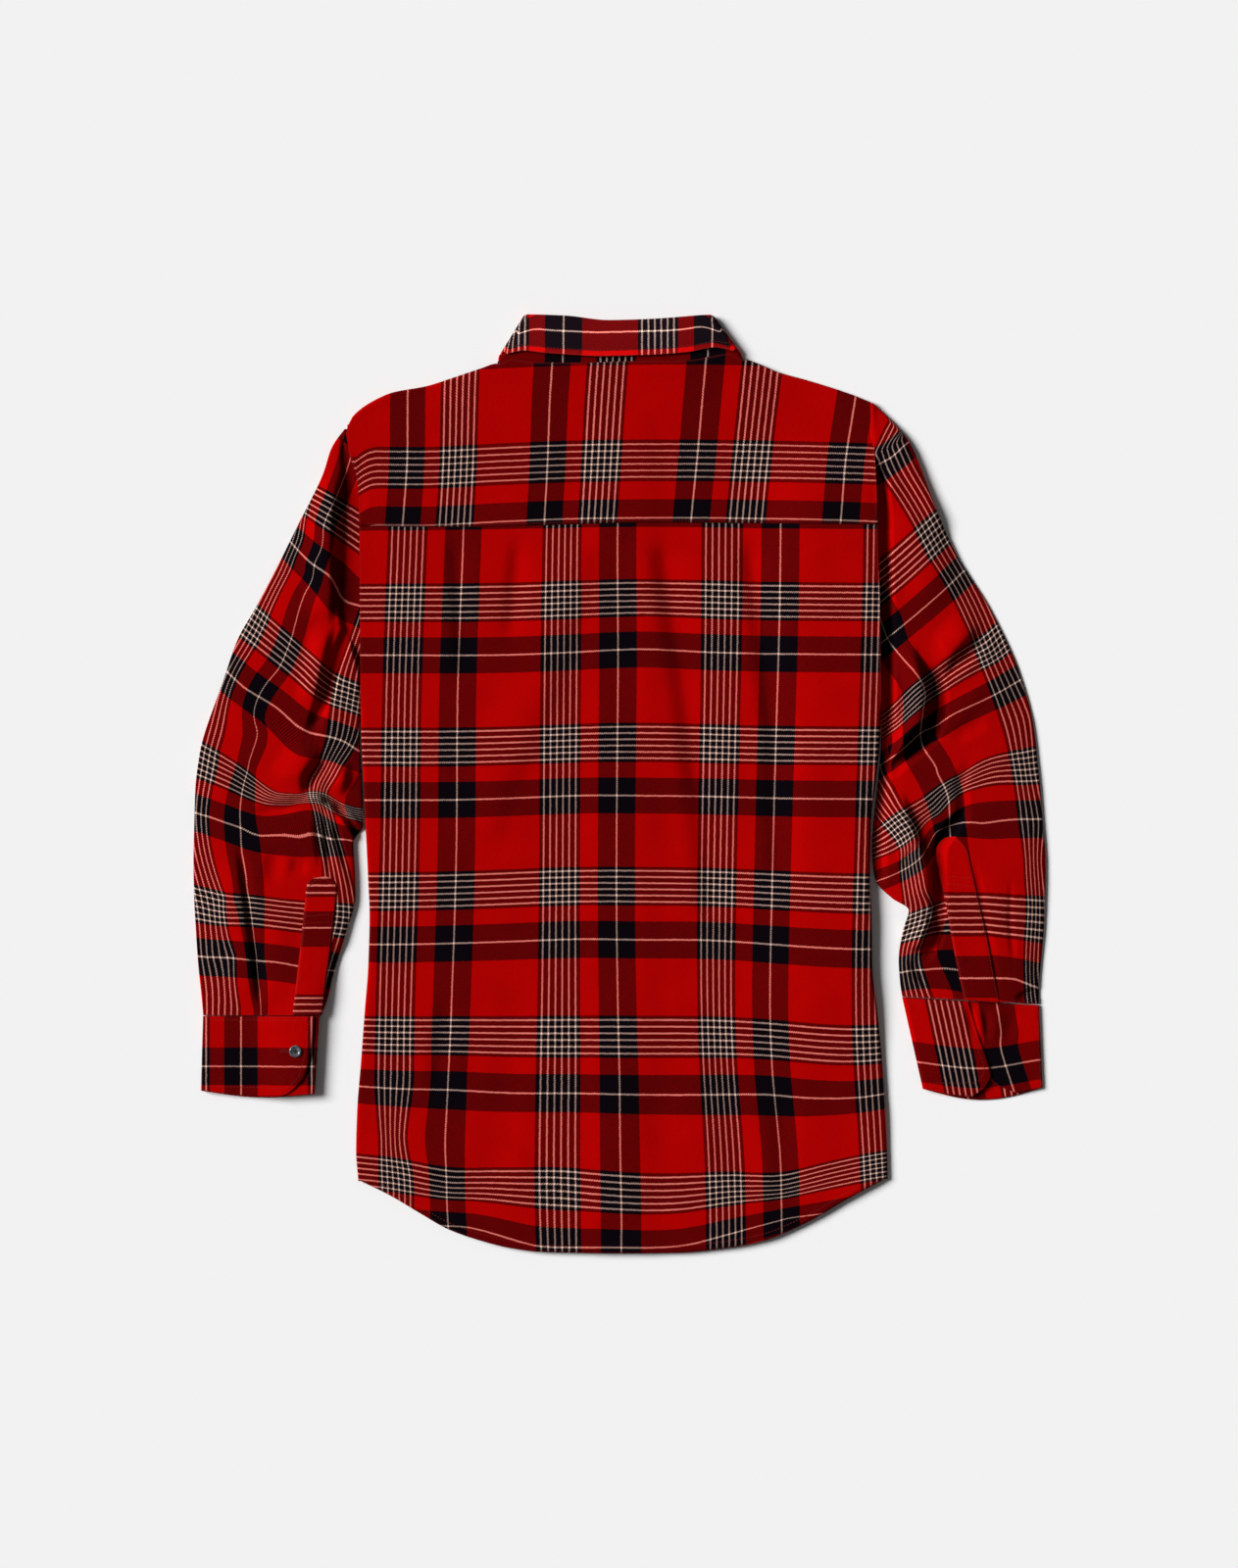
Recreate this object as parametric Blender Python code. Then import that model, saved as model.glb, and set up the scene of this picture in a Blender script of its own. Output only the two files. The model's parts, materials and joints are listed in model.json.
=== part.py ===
"""A long-sleeved flannel shirt that lies flat on its front: collar towards +Y, back up, sleeves brought down.

Lengths are in millimetres and become metres where a mesh is made. Every cloth piece is one wall. Its outer
points come from the garment's outline and from a height function, and its inner points lie one thickness in.
"""

import math

import bmesh
import bpy
import numpy as np
from mathutils import Vector
from mathutils.bvhtree import BVHTree

MM = 0.001
SEAM = 0.4  # clear space between two pieces that are sewn together
BACK_WALL = 1.2
FRONT_WALL = 1.0
COLLAR_WALL = 1.6
CUFF_WALL = 1.5
FLAT_HEIGHT = 6.0  # both layers of body or sleeve with the air between them
EDGE_RADIUS = FLAT_HEIGHT / 2
CUFF_HEIGHT = 6.3
CENTRE_X = 1.0  # the line of the front buttons
STRIP_HALF = 17.5  # half the width of the front's button band
BAND_FADE = 45.2  # how far from the centre line the stack of bands still lifts the cloth
BAND_STEP = FRONT_WALL + 0.3  # one layer of the front stack and its clearance
CENTRE_HEIGHT = 7.4  # the back over the stack of bands
BUTTON_RADIUS = 5.75
BUTTON_HEIGHT = 2.0
BUTTON_LIFT = BUTTON_HEIGHT + 0.3
BUTTON_PITCH = 95.0
BUTTON_ROWS = [275.0 - BUTTON_PITCH * i for i in range(7)]
ARMPIT_Y = 60.0
CENTRE_NECK_Y = 345.0  # the front neckline at the centre
FRONT_HEM_RISE = 5.0  # the front's hem lies this much inside the back's
TURNS = (0.0, 30.0, 58.0, 84.0)  # a panel's edge turns down to its seam through these angles
HALF_TURNS = (45.0, 90.0, 135.0)  # a tube's edge turns over through these

# The body's two sides, and its armholes above the armpit.
BODY_SIDES = (
    # y, left x, right x
    (-371.0, -245.0, 252.4),
    (-345.0, -247.0, 251.9),
    (-308.0, -246.0, 250.7),
    (-259.0, -242.2, 247.0),
    (-209.0, -238.5, 242.1),
    (-172.0, -235.6, 237.8),
    (-123.0, -234.3, 237.1),
    (-91.0, -235.6, 235.8),
    (-40.0, -238.0, 236.5),
    (1.0, -240.0, 241.0),
    (57.0, -242.4, 245.8),
    (275.0, -244.5, 241.4),
    (331.0, -257.1, 239.0),
    (357.0, -257.1, 238.0),
)
HEM = (
    # x, y
    (-245.0, -371.5),
    (-214.8, -386.4),
    (-185.4, -403.9),
    (-160.5, -418.0),
    (-131.1, -428.4),
    (-101.7, -435.8),
    (-71.8, -439.5),
    (-30.0, -440.4),
    (10.0, -440.7),
    (51.0, -440.4),
    (100.3, -435.9),
    (137.3, -428.4),
    (161.9, -418.6),
    (186.6, -406.3),
    (211.1, -391.6),
    (252.4, -369.4),
)
YOKE_SEAM = (
    # x, y
    (-245.0, 242.0),
    (-137.0, 241.4),
    (26.0, 245.4),
    (245.0, 243.2),
)
SHOULDERS_AND_NECK = (
    # x, y
    (-257.1, 331.0),
    (-249.4, 339.8),
    (-230.6, 357.0),
    (-212.0, 366.2),
    (-181.8, 373.6),
    (-151.8, 383.0),
    (-129.3, 390.5),
    (-116.0, 394.5),
    (-79.9, 388.6),
    (-30.8, 388.3),
    (0.0, 389.4),
    (64.5, 390.7),
    (99.8, 396.5),
    (120.0, 398.0),
    (132.0, 394.3),
    (149.0, 387.0),
    (177.1, 379.2),
    (214.7, 366.2),
    (238.0, 357.0),
)
NECK_LEFT, NECK_RIGHT = -116.0, 120.0
NECK_HALF = 113.0  # from the centre line to where the flattened neckline turns

# Each row is a fold of the cloth: a ridge, or a trough where the height is below 0, from one end to the other.
# The widths are those on its left and right, seen along it.
FOLDS = (
    # from x, y, to x, y, height, left width, right width
    (-262.0, 300.0, -268.0, 185.0, -2.2, 16.0, 12.0),  # left upper arm, beside the armhole
    (-268.0, 185.0, -278.0, 95.0, -2.2, 18.0, 14.0),
    (-290.0, 235.0, -335.0, 85.0, 2.0, 34.0, 26.0),  # its crown
    (-290.0, 2.0, -250.0, 44.0, 4.5, 13.0, 22.0),  # left elbow, above the pinch
    (-299.0, 24.0, -295.0, -4.0, -3.0, 14.0, 10.0),
    (-280.0, -16.0, -250.0, -34.0, 4.0, 20.0, 10.0),
    (-296.0, -8.0, -345.0, 4.0, 2.5, 12.0, 22.0),
    (-290.0, -26.0, -272.0, -80.0, 2.6, 13.0, 11.0),  # left forearm
    (-349.0, -95.0, -336.0, -190.0, -2.4, 12.0, 16.0),
    (-372.0, -50.0, -366.0, -180.0, 1.6, 22.0, 22.0),
    (249.0, 325.0, 251.0, 75.0, -2.6, 10.0, 16.0),  # right upper arm, beside the armhole
    (275.0, 250.0, 322.0, 165.0, 2.0, 30.0, 26.0),  # its crown
    (336.0, 146.0, 296.0, 112.0, -3.0, 12.0, 16.0),  # right elbow
    (268.0, 118.0, 286.0, 82.0, 3.2, 16.0, 16.0),
    (298.0, 96.0, 300.0, 62.0, -2.8, 14.0, 14.0),
    (296.0, 56.0, 262.0, 34.0, -2.8, 14.0, 14.0),
    (318.0, 52.0, 350.0, 14.0, 2.4, 24.0, 24.0),
    (262.0, 0.0, 262.0, -72.0, 3.4, 22.0, 20.0),
    (300.0, -60.0, 286.0, -84.0, -2.8, 14.0, 14.0),  # right forearm
    (290.0, -92.0, 297.0, -130.0, -2.8, 14.0, 12.0),
    (374.0, -20.0, 376.0, -165.0, 1.6, 22.0, 22.0),
    (-116.0, 225.0, -106.0, 30.0, 1.6, 26.0, 26.0),  # the back, below the yoke
    (126.0, 225.0, 122.0, 70.0, 1.6, 24.0, 24.0),
    (-150.0, -120.0, -188.0, -330.0, 1.2, 40.0, 40.0),
    (150.0, -140.0, 180.0, -330.0, 1.2, 40.0, 40.0),
)

# The sleeves' rings, from the armhole to the cuff: each goes from the outer edge to the edge beside the body.
LEFT_RINGS = (
    # outer x, y, inner x, y
    (-257.5, 331.0, -242.9, 60.0),
    (-270.5, 313.0, -243.5, 50.0),
    (-282.4, 281.5, -243.4, 42.0),
    (-316.4, 213.4, -243.1, 32.0),
    (-340.3, 167.5, -242.6, 20.0),
    (-358.3, 135.6, -242.0, 12.0),
    (-372.2, 95.7, -241.5, 3.0),
    (-393.3, 32.2, -240.6, -18.0),
    (-398.0, -5.0, -240.0, -38.0),
    (-399.0, -37.0, -249.5, -56.0),
    (-399.7, -72.0, -248.0, -84.0),
    (-399.2, -104.0, -247.5, -106.0),
    (-397.5, -137.0, -254.0, -133.0),
    (-395.3, -169.0, -264.5, -167.0),
    (-392.1, -200.0, -273.0, -200.0),
    (-390.6, -217.3, -279.0, -217.3),
)
RIGHT_RINGS = (
    # outer x, y, inner x, y
    (238.4, 357.0, 246.2, 60.0),
    (256.5, 336.0, 246.9, 48.0),
    (270.0, 319.4, 246.5, 38.0),
    (293.3, 262.4, 245.8, 28.0),
    (316.6, 216.2, 244.6, 14.0),
    (348.2, 165.6, 243.0, 0.0),
    (375.7, 106.1, 240.6, -22.0),
    (388.5, 60.0, 238.6, -42.0),
    (394.8, 8.3, 237.8, -64.0),
    (398.2, -35.0, 241.0, -90.0),
    (401.0, -74.0, 256.0, -107.0),
    (400.5, -104.0, 272.0, -119.0),
    (399.5, -132.5, 266.0, -140.0),
    (396.4, -167.4, 262.6, -165.0),
    (394.6, -190.0, 264.0, -187.0),
    (394.4, -206.6, 265.9, -199.6),
)

# Each cuff's corners, then how far across it its upper and under ends reach, from its top edge to its lower one.
LEFT_CUFF = {
    "top": ((-390.7, -217.9), (-281.1, -217.9)),
    "bottom": ((-392.8, -288.0), (-285.6, -291.0)),
    "sag": 2.0,
    "ends": (
        # down, upper end, under end
        (0.0, 0.965, 0.80),
        (0.3, 0.96, 0.78),
        (0.6, 0.935, 0.76),
        (0.78, 0.90, 0.74),
        (0.9, 0.83, 0.70),
        (1.0, 0.72, 0.62),
    ),
}
RIGHT_CUFF = {
    "top": ((265.9, -200.2), (394.7, -207.9)),
    "bottom": ((285.3, -286.4), (397.9, -285.2)),
    "sag": 6.0,
    "ends": (
        # down, upper end, under end
        (0.0, 0.48, 0.34),
        (0.3, 0.51, 0.38),
        (0.6, 0.56, 0.46),
        (0.78, 0.585, 0.53),
        (0.9, 0.53, 0.64),
        (1.0, 0.41, 0.79),
    ),
}

# The strips over the sleeves' slits: a row for each place down the strip.
LEFT_STRIP = (
    # left x, y, right x, y
    (-284.0, -89.5, -273.0, -88.5),
    (-291.0, -96.0, -266.5, -92.5),
    (-294.0, -106.0, -264.6, -103.0),
    (-297.8, -142.0, -268.6, -140.0),
    (-302.0, -180.0, -273.6, -178.0),
    (-306.0, -216.0, -278.4, -216.2),
)
RIGHT_STRIP = (
    # left x, y, right x, y
    (304.0, -53.0, 317.0, -51.5),
    (298.0, -60.0, 325.5, -62.0),
    (297.6, -72.0, 330.4, -76.0),
    (306.0, -110.0, 338.6, -113.0),
    (312.0, -145.0, 346.6, -148.0),
    (318.0, -176.0, 352.4, -180.0),
    (323.6, -201.5, 357.0, -203.6),
)

# The collar. Its height runs up the band from the neck seam (0) over the roll line.
STAND_TOP = 33.0
STAND_PAST = 12.0  # how far each end of the band runs past the centre line
ROLL = 50.0
FOLD_LOW = ((-117.2, 395.0), (119.2, 398.5))  # where the flattened collar turns under, at the neck seam
FOLD_HIGH = ((-89.5, 439.5), (89.5, 439.8))  # and at the roll line
ROLL_LINE = (
    # x, y
    (-89.5, 439.5),
    (-50.3, 439.0),
    (-10.1, 435.4),
    (17.0, 436.0),
    (89.5, 439.8),
)
RING_GAP = 1.3  # half the space inside the flattened neck
LEAF_CLEAR = 0.7  # between the stand and the leaf over it
COLLAR_MID = RING_GAP + 2 * COLLAR_WALL + LEAF_CLEAR  # also the radius of the leaf's turn at the side
LEAF_PUFF = 2.4  # how far the leaf stands off the stand at the back
LEAF_EDGE = (
    # how far round from the centre back (0.5 is the side, 1 the centre front), height of the leaf's edge
    (0.0, 13.0),
    (0.3, 14.0),
    (0.44, 17.0),
    (0.5, 15.0),
    (0.6, -2.0),
    (0.8, -30.0),
)

PLAIN = {
    # cloth and button materials: colour, roughness
    "flannel": ((0.42, 0.012, 0.010, 1.0), 0.95),
    "button": ((0.030, 0.032, 0.036, 1.0), 0.25),
}


def clear_scene():
    for thing in list(bpy.data.objects):
        bpy.data.objects.remove(thing)


def material(name):
    found = bpy.data.materials.get(name)
    if found:
        return found
    colour, roughness = PLAIN[name]
    made = bpy.data.materials.new(name)
    made.use_nodes = True
    shader = made.node_tree.nodes["Principled BSDF"]
    shader.inputs["Base Color"].default_value = colour
    shader.inputs["Roughness"].default_value = roughness
    return made


# ---- numbers and heights ----


def read(table, at, column=1):
    """The table's column at this value of its first column, straight between rows."""
    return float(np.interp(at, [row[0] for row in table], [row[column] for row in table]))


def between(a, b, part):
    return a + (b - a) * part


def ease(part):
    part = min(1.0, max(0.0, part))
    return part * part * (3 - 2 * part)


def side_x(side, y):
    return read(BODY_SIDES, y, 1 if side < 0 else 2)


def relief(x, y):
    """How far the folds raise the cloth here, or lower it."""
    total = 0.0
    for x1, y1, x2, y2, height, left, right in FOLDS:
        length = math.hypot(x2 - x1, y2 - y1)
        ax, ay = (x2 - x1) / length, (y2 - y1) / length
        along = (x - x1) * ax + (y - y1) * ay
        across = (y - y1) * ax - (x - x1) * ay
        width = left if across > 0 else right
        past = max(-along, along - length, 0.0) / (0.5 * (left + right))
        q = math.hypot(across / width, past)
        if q < 1:
            total += height * (1 - q * q) ** 2
    return total


def neck_distance(x, y):
    """How far this place lies below the neckline."""
    nearest = min(max(x, NECK_LEFT), NECK_RIGHT)
    return math.hypot(x - nearest, max(0.0, read(SHOULDERS_AND_NECK, nearest) - y))


def stack_share(x):
    """1 over the button bands, 0 where their stack has run out."""
    return min(1.0, max(0.0, (BAND_FADE - abs(x - CENTRE_X)) / (BAND_FADE - STRIP_HALF)))


def top_height(x, y):
    """The upper face of the shirt."""
    height = between(FLAT_HEIGHT, CENTRE_HEIGHT, stack_share(x))
    neck = COLLAR_MID + RING_GAP + COLLAR_WALL
    height = max(height, between(neck, FLAT_HEIGHT, ease(neck_distance(x, y) / 80)))
    return height + relief(x, y)


def under_height(x, y):
    """The lower face of body and sleeves: folds lift both layers."""
    return max(0.0, relief(x, y))


def neckline(x):
    """The fronts' neckline, which dips from the collar's side folds to the centre."""
    side_y = FOLD_LOW[0][1] if x < CENTRE_X else FOLD_LOW[1][1]
    return between(CENTRE_NECK_Y, side_y, min(1.0, abs(x - CENTRE_X) / NECK_HALF) ** 2)


def leaf_lift(x, y):
    """The collar's leaf lies under the fronts near the neckline and lifts them."""
    below = neckline(x) - y
    reach = 62.0 if abs(x - CENTRE_X) > STRIP_HALF + 1 else 12.0
    side = 1 - ease((abs(x - CENTRE_X) - 128) / 35)
    return (COLLAR_WALL + 0.5) * side * (1 - ease((below - reach) / 40))


def button_wave(y):
    """The front bands rise over each button and come down between two."""
    nearest = min(abs(y - row) for row in BUTTON_ROWS)
    return BUTTON_LIFT * max(0.0, 1 - nearest / (BUTTON_PITCH / 2))


def front_height(x, y, layer):
    """The lower face of a front layer: 0 the button band, 1 the left front, 2 the right front."""
    share = stack_share(x)
    first = max(leaf_lift(x, y), BAND_STEP * share) + button_wave(y) * share
    return first + (layer - 1) * BAND_STEP * share + under_height(x, y)


def steepness(height, x, y):
    return (height(x + 1, y) - height(x - 1, y)) / 2, (height(x, y + 1) - height(x, y - 1)) / 2


def normal_of(height, x, y, facing):
    """The outward direction of the face of this height that faces up (1) or down (-1)."""
    gx, gy = steepness(height, x, y)
    return Vector((-gx, -gy, 1.0)).normalized() * facing


# ---- walls ----


def wall(name, rows, thickness, kind="flannel", closed=False):
    """A wall through rows of (point, outward direction). Its last column meets its first when it is closed."""
    mesh = bmesh.new()
    outer = [[mesh.verts.new(p * MM) for p, _ in row] for row in rows]
    inner = [[mesh.verts.new((p - n * thickness) * MM) for p, n in row] for row in rows]
    columns = len(rows[0])
    steps = columns if closed else columns - 1
    for i in range(len(rows) - 1):
        for j in range(steps):
            k = (j + 1) % columns
            mesh.faces.new((outer[i][j], outer[i][k], outer[i + 1][k], outer[i + 1][j]))
            mesh.faces.new((inner[i + 1][j], inner[i + 1][k], inner[i][k], inner[i][j]))
    for j in range(steps):
        k = (j + 1) % columns
        mesh.faces.new((outer[0][k], outer[0][j], inner[0][j], inner[0][k]))
        mesh.faces.new((outer[-1][j], outer[-1][k], inner[-1][k], inner[-1][j]))
    if not closed:
        for i in range(len(rows) - 1):
            mesh.faces.new((outer[i][0], outer[i + 1][0], inner[i + 1][0], inner[i][0]))
            mesh.faces.new((outer[i + 1][-1], outer[i][-1], inner[i][-1], inner[i + 1][-1]))
    return finish(name, mesh, kind)


def finish(name, mesh, kind):
    bmesh.ops.recalc_face_normals(mesh, faces=mesh.faces[:])
    bmesh.ops.triangulate(mesh, faces=mesh.faces[:])
    data = bpy.data.meshes.new(name)
    mesh.to_mesh(data)
    mesh.free()
    data.shade_smooth()
    data.set_sharp_from_angle(angle=math.radians(50))
    made = bpy.data.objects.new(name, data)
    bpy.context.scene.collection.objects.link(made)
    made.data.materials.append(material(kind))
    return made


def turned(height, x, y, facing, side, side_angle, top_angle, side_share, top_share):
    """A panel's point and outward direction where its edges turn towards a seam halfway up."""
    flat_z = height(x, y)
    out = normal_of(height, x, y, facing)
    to_middle = abs(between(top_height(x, y), under_height(x, y), 0.5) - flat_z)
    a, b = math.radians(side_angle), math.radians(top_angle)
    drop = side_share * (1 - math.cos(a)) + top_share * (1 - math.cos(b))
    reach_x, reach_y = EDGE_RADIUS * math.sin(a), EDGE_RADIUS * math.sin(b)
    point = Vector((x + side * reach_x, y + reach_y, flat_z - facing * to_middle * drop))
    lean = Vector((side * side_share * math.sin(a), top_share * math.sin(b), 0.0))
    return point, (lean + out * (1 - min(drop, 0.9))).normalized()


def edge_columns(side, inward):
    """The columns of a panel's edge, from the seam inwards: (angle of the turn, how far in the flat part starts)."""
    angles = TURNS[::-1] if inward else TURNS
    return [(side, angle) for angle in angles]


def seam_share(y):
    """1 where the sides are turned to a side seam, and 0 at the armholes, which stay open."""
    return 1 - ease((y - ARMPIT_Y + 4) / 22)


def shoulder_share(x):
    """1 where the top edge is turned to the shoulder fold, and 0 along the neckline."""
    return ease((max(NECK_LEFT - x, x - NECK_RIGHT) + 2) / 10)


def panel(name, columns, row_ends, height, facing, thickness, top_turns=False):
    """A panel of the body. A column is an x in millimetres, or (side, angle) at the body's side, and row_ends
    gives the y values of the rows for an x."""
    rows = []
    count = len(row_ends(0.0))
    turns = TURNS if top_turns else (0.0,)
    for i in range(count - 1 + len(turns)):
        row = []
        top_angle = turns[max(0, i - count + 1)]
        for column in columns:
            side, angle = column if isinstance(column, tuple) else (0, 0.0)
            near = side_x(side, 0.0) if side else column
            y = row_ends(near)[min(i, count - 1)]
            for _ in range(4 if side else 0):  # the row's y and the side's x depend on each other
                near = side_x(side, y + EDGE_RADIUS * math.sin(math.radians(top_angle)))
                near -= side * EDGE_RADIUS
                y = between(y, row_ends(near)[min(i, count - 1)], 0.7)
            share = seam_share(y) if side else 0.0
            top_share = shoulder_share(near) if top_turns else 0.0
            row.append(turned(height, near, y, facing, side, angle, top_angle, share, top_share))
        rows.append(row)
    return wall(name, rows, thickness)


# ---- body ----

BAND_EDGES = (CENTRE_X - STRIP_HALF, CENTRE_X, CENTRE_X + STRIP_HALF)
STACK_EDGES = (CENTRE_X - BAND_FADE, BAND_EDGES[0], BAND_EDGES[2], CENTRE_X + BAND_FADE)
BACK_X = (-205, -165, -140, -122, -112, -95, -72) + STACK_EDGES + (68, 82, 99.8, 115, 126, 142, 165, 205)
NECK_SHARES = (1.0, 0.8, 0.6, 0.4, 0.2)
LEFT_FRONT_X = (-205, -165, -133) + tuple(CENTRE_X - NECK_HALF * share for share in NECK_SHARES) + BAND_EDGES
RIGHT_FRONT_X = BAND_EDGES + tuple(CENTRE_X + NECK_HALF * share for share in NECK_SHARES[::-1]) + (135, 165, 205)
LEVELS = sorted({row + step for row in BUTTON_ROWS for step in (0.0, -BUTTON_PITCH / 2)})


def back_rows(x):
    hem = read(HEM, x)
    seam = read(YOKE_SEAM, x) - SEAM / 2
    inside = [y for y in LEVELS if y < 215]
    return [hem, between(hem, inside[0], 0.5)] + inside + [seam]


def yoke_rows(x):
    low = read(YOKE_SEAM, x) + SEAM / 2
    high = read(SHOULDERS_AND_NECK, x) - EDGE_RADIUS
    return [low] + [between(275.0, high, part) for part in (0.0, 0.3, 0.6, 0.85, 1.0)]


def front_rows(x):
    hem = read(HEM, x) + FRONT_HEM_RISE
    high = min(neckline(x), read(SHOULDERS_AND_NECK, x)) - EDGE_RADIUS
    return [hem] + LEVELS + [between(LEVELS[-1], high, 0.5), high]


def build_body():
    left, right = edge_columns(-1, True), edge_columns(1, False)
    across = left + list(BACK_X) + right
    panel("back", across, back_rows, top_height, 1, BACK_WALL)
    panel("yoke", across, yoke_rows, top_height, 1, BACK_WALL, top_turns=True)
    fronts = {
        "front_left": (left + list(LEFT_FRONT_X), 1),
        "front_right": (list(RIGHT_FRONT_X) + right, 2),
    }
    for name, (columns, layer) in fronts.items():

        def height(x, y, layer=layer):
            return front_height(x, y, layer)

        panel(name, columns, front_rows, height, -1, FRONT_WALL, top_turns=True)
    panel("front_band", BAND_EDGES, front_rows, lambda x, y: front_height(x, y, 0), -1, FRONT_WALL)


# ---- sleeves ----

ACROSS = (0.0, 0.10, 0.20, 0.28, 0.36, 0.44, 0.53, 0.62, 0.71, 0.80, 0.90, 1.0)
ACROSS_UNDER = (1.0, 0.8, 0.6, 0.4, 0.2, 0.0)


def ring(side, table, at):
    """One ring of a sleeve's points and outward directions, at a place that counts along the table's rows."""
    count = list(range(len(table)))
    ox, oy, ix, iy = (float(np.interp(at, count, [row[c] for row in table])) for c in range(4))
    first = table[0]
    length = math.hypot(ix - ox, iy - oy)
    ux, uy = (ix - ox) / length, (iy - oy) / length
    bow = max(0.0, 1 - at / 2.5)

    def seat(x, y):
        straight = between(first[0], first[2], (first[1] - y) / (first[1] - first[3]))
        return x + bow * (side_x(side, y) + side * SEAM - straight)

    def flat(part, facing):
        radius = FLAT_HEIGHT / 2
        reach = between(radius, length - radius, part)
        x, y = ox + ux * reach, oy + uy * reach
        x = seat(x, y)
        height = top_height if facing > 0 else under_height
        return Vector((x, y, height(x, y))), normal_of(height, x, y, facing)

    def turn(end, angle):
        """end is 0 at the outer edge, 1 beside the body; the angle is 0 on top."""
        sign = 1 if end else -1
        low, high = flat(end, -1)[0], flat(end, 1)[0]
        radius = (high.z - low.z) / 2
        a = math.radians(angle)
        reach = FLAT_HEIGHT / 2 * math.sin(a) * sign
        at_mid = (high + low) / 2
        rise = Vector((ux * reach, uy * reach, radius * math.cos(a)))
        return at_mid + rise, Vector((ux * sign * math.sin(a), uy * sign * math.sin(a), math.cos(a)))

    points = [flat(part, 1) for part in ACROSS]
    points += [turn(1, angle) for angle in HALF_TURNS]
    points += [flat(part, -1) for part in ACROSS_UNDER]
    points += [turn(0, angle) for angle in HALF_TURNS[::-1]]
    return points


def build_sleeve(name, side, table):
    places = [i / 2 for i in range(2 * len(table) - 1)]
    return wall(name, [ring(side, table, at) for at in places], BACK_WALL, closed=True)


def build_strip(name, table, sleeve):
    """A strip sewn on a sleeve: it lies just clear of the sleeve's own faces."""
    tree = BVHTree.FromObject(sleeve, bpy.context.evaluated_depsgraph_get())

    def seat(x, y):
        near = []
        for dx in (-4.0, 0.0, 4.0):
            for dy in (-5.0, 0.0, 5.0):
                hit = tree.ray_cast(Vector(((x + dx) * MM, (y + dy) * MM, 0.1)), Vector((0, 0, -1)))[0]
                if hit:
                    near.append(hit.z / MM)
        return max(near) + 0.35 + FRONT_WALL

    rows = []
    places = [i / 3 for i in range(3 * (len(table) - 1) + 1)]
    count = list(range(len(table)))
    for at in places:
        lx, ly, rx, ry = (float(np.interp(at, count, [row[c] for row in table])) for c in range(4))
        row = []
        for part in (0.0, 0.25, 0.5, 0.75, 1.0):
            x, y = between(lx, rx, part), between(ly, ry, part)
            row.append((Vector((x, y, seat(x, y))), Vector((0, 0, 1))))
        rows.append(row)
    return wall(name, rows, FRONT_WALL)


# ---- cuffs ----

CUFF_ROWS = (0.0, 0.3, 0.6, 0.78, 0.9, 1.0)
UNDER_TOP = CUFF_HEIGHT - CUFF_WALL - 0.3  # the upper face of the cuff's under end


def build_cuff(name, shape):
    """A band once round the wrist. Its upper end lies over its under end."""
    rows = []
    for down in CUFF_ROWS:
        start = Vector(shape["top"][0]).lerp(Vector(shape["bottom"][0]), down)
        stop = Vector(shape["top"][1]).lerp(Vector(shape["bottom"][1]), down)
        across = (stop - start).normalized()
        width = (stop - start).length
        upper, under = (read(shape["ends"], down, column) * width for column in (1, 2))

        def at(reach, z):
            p = start + across * reach
            sag = shape["sag"] * down * math.sin(math.pi * min(1.0, max(0.0, reach / width)))
            return Vector((p.x, p.y - (sag if z < CUFF_HEIGHT / 2 - 1 else 0.0), z))

        def turn(end, radius, angle):
            a = math.radians(angle)
            middle = radius if end < 0 else width - radius
            p = at(middle + end * radius * math.sin(a), radius + radius * math.cos(a))
            return p, Vector((across.x * end * math.sin(a), across.y * end * math.sin(a), math.cos(a)))

        big, small = CUFF_HEIGHT / 2, UNDER_TOP / 2
        up, low = Vector((0, 0, 1)), Vector((0, 0, -1))
        row = [(at(between(upper, big, part), CUFF_HEIGHT), up) for part in (0.0, 0.2, 0.4, 0.7, 1.0)]
        row += [turn(-1, big, angle) for angle in HALF_TURNS]
        row += [(at(between(big, width - small, part), 0.0), low) for part in (0.0, 0.25, 0.5, 0.75, 1.0)]
        row += [turn(1, small, angle) for angle in HALF_TURNS[::-1]]
        row += [(at(between(width - small, under, part), UNDER_TOP), up) for part in (0.0, 0.5, 1.0)]
        rows.append(row)
    return wall(name, rows, CUFF_WALL)


# ---- collar ----

BACK_ROUND = (-1.0, -0.82, -0.62, -0.4, -0.13, 0.13, 0.4, 0.62, 0.82, 1.0)
FRONT_ROUND = (1.0, 0.8, 0.6, 0.4, 0.2, 0.0)


def fold_point(side, height):
    end = 0 if side < 0 else 1
    return Vector(FOLD_LOW[end]).lerp(Vector(FOLD_HIGH[end]), height / ROLL)


def collar_point(side, place, share, height, off):
    """A point of the flattened collar ring and its outward direction. place is "back", "turn" or "front". share is
    the part from the centre to the side, or the angle of the turn. off is how far out of the ring's middle."""
    edge = fold_point(side, height) - Vector((side * COLLAR_MID, 0.0))
    radius = RING_GAP + off
    if place == "turn":
        a = math.radians(share)
        direction = Vector((side * math.cos(a), 0.0, math.sin(a)))
        return Vector((edge.x, edge.y, COLLAR_MID)) + direction * radius, direction
    x = between(CENTRE_X, edge.x, share)
    if place == "back":
        middle = between(read(SHOULDERS_AND_NECK, x), read(ROLL_LINE, x), height / ROLL)
        y = between(middle, edge.y, share**6)
        return Vector((x, y, COLLAR_MID + radius)), Vector((0, 0, 1))
    y = between(CENTRE_NECK_Y + height, edge.y, share**2)
    return Vector((x, y, COLLAR_MID - radius)), Vector((0, 0, -1))


def round_places(front_shares):
    """The places round the collar from its left front end over the back to its right front end."""
    left = [(-1, "front", share) for share in front_shares[::-1]]
    left += [(-1, "turn", angle) for angle in (-45.0, 0.0, 45.0)]
    back = [((-1 if share < 0 else 1), "back", abs(share)) for share in BACK_ROUND]
    right = [(1, "turn", angle) for angle in (45.0, 0.0, -45.0)]
    right += [(1, "front", share) for share in front_shares]
    return left + back + right


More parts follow.
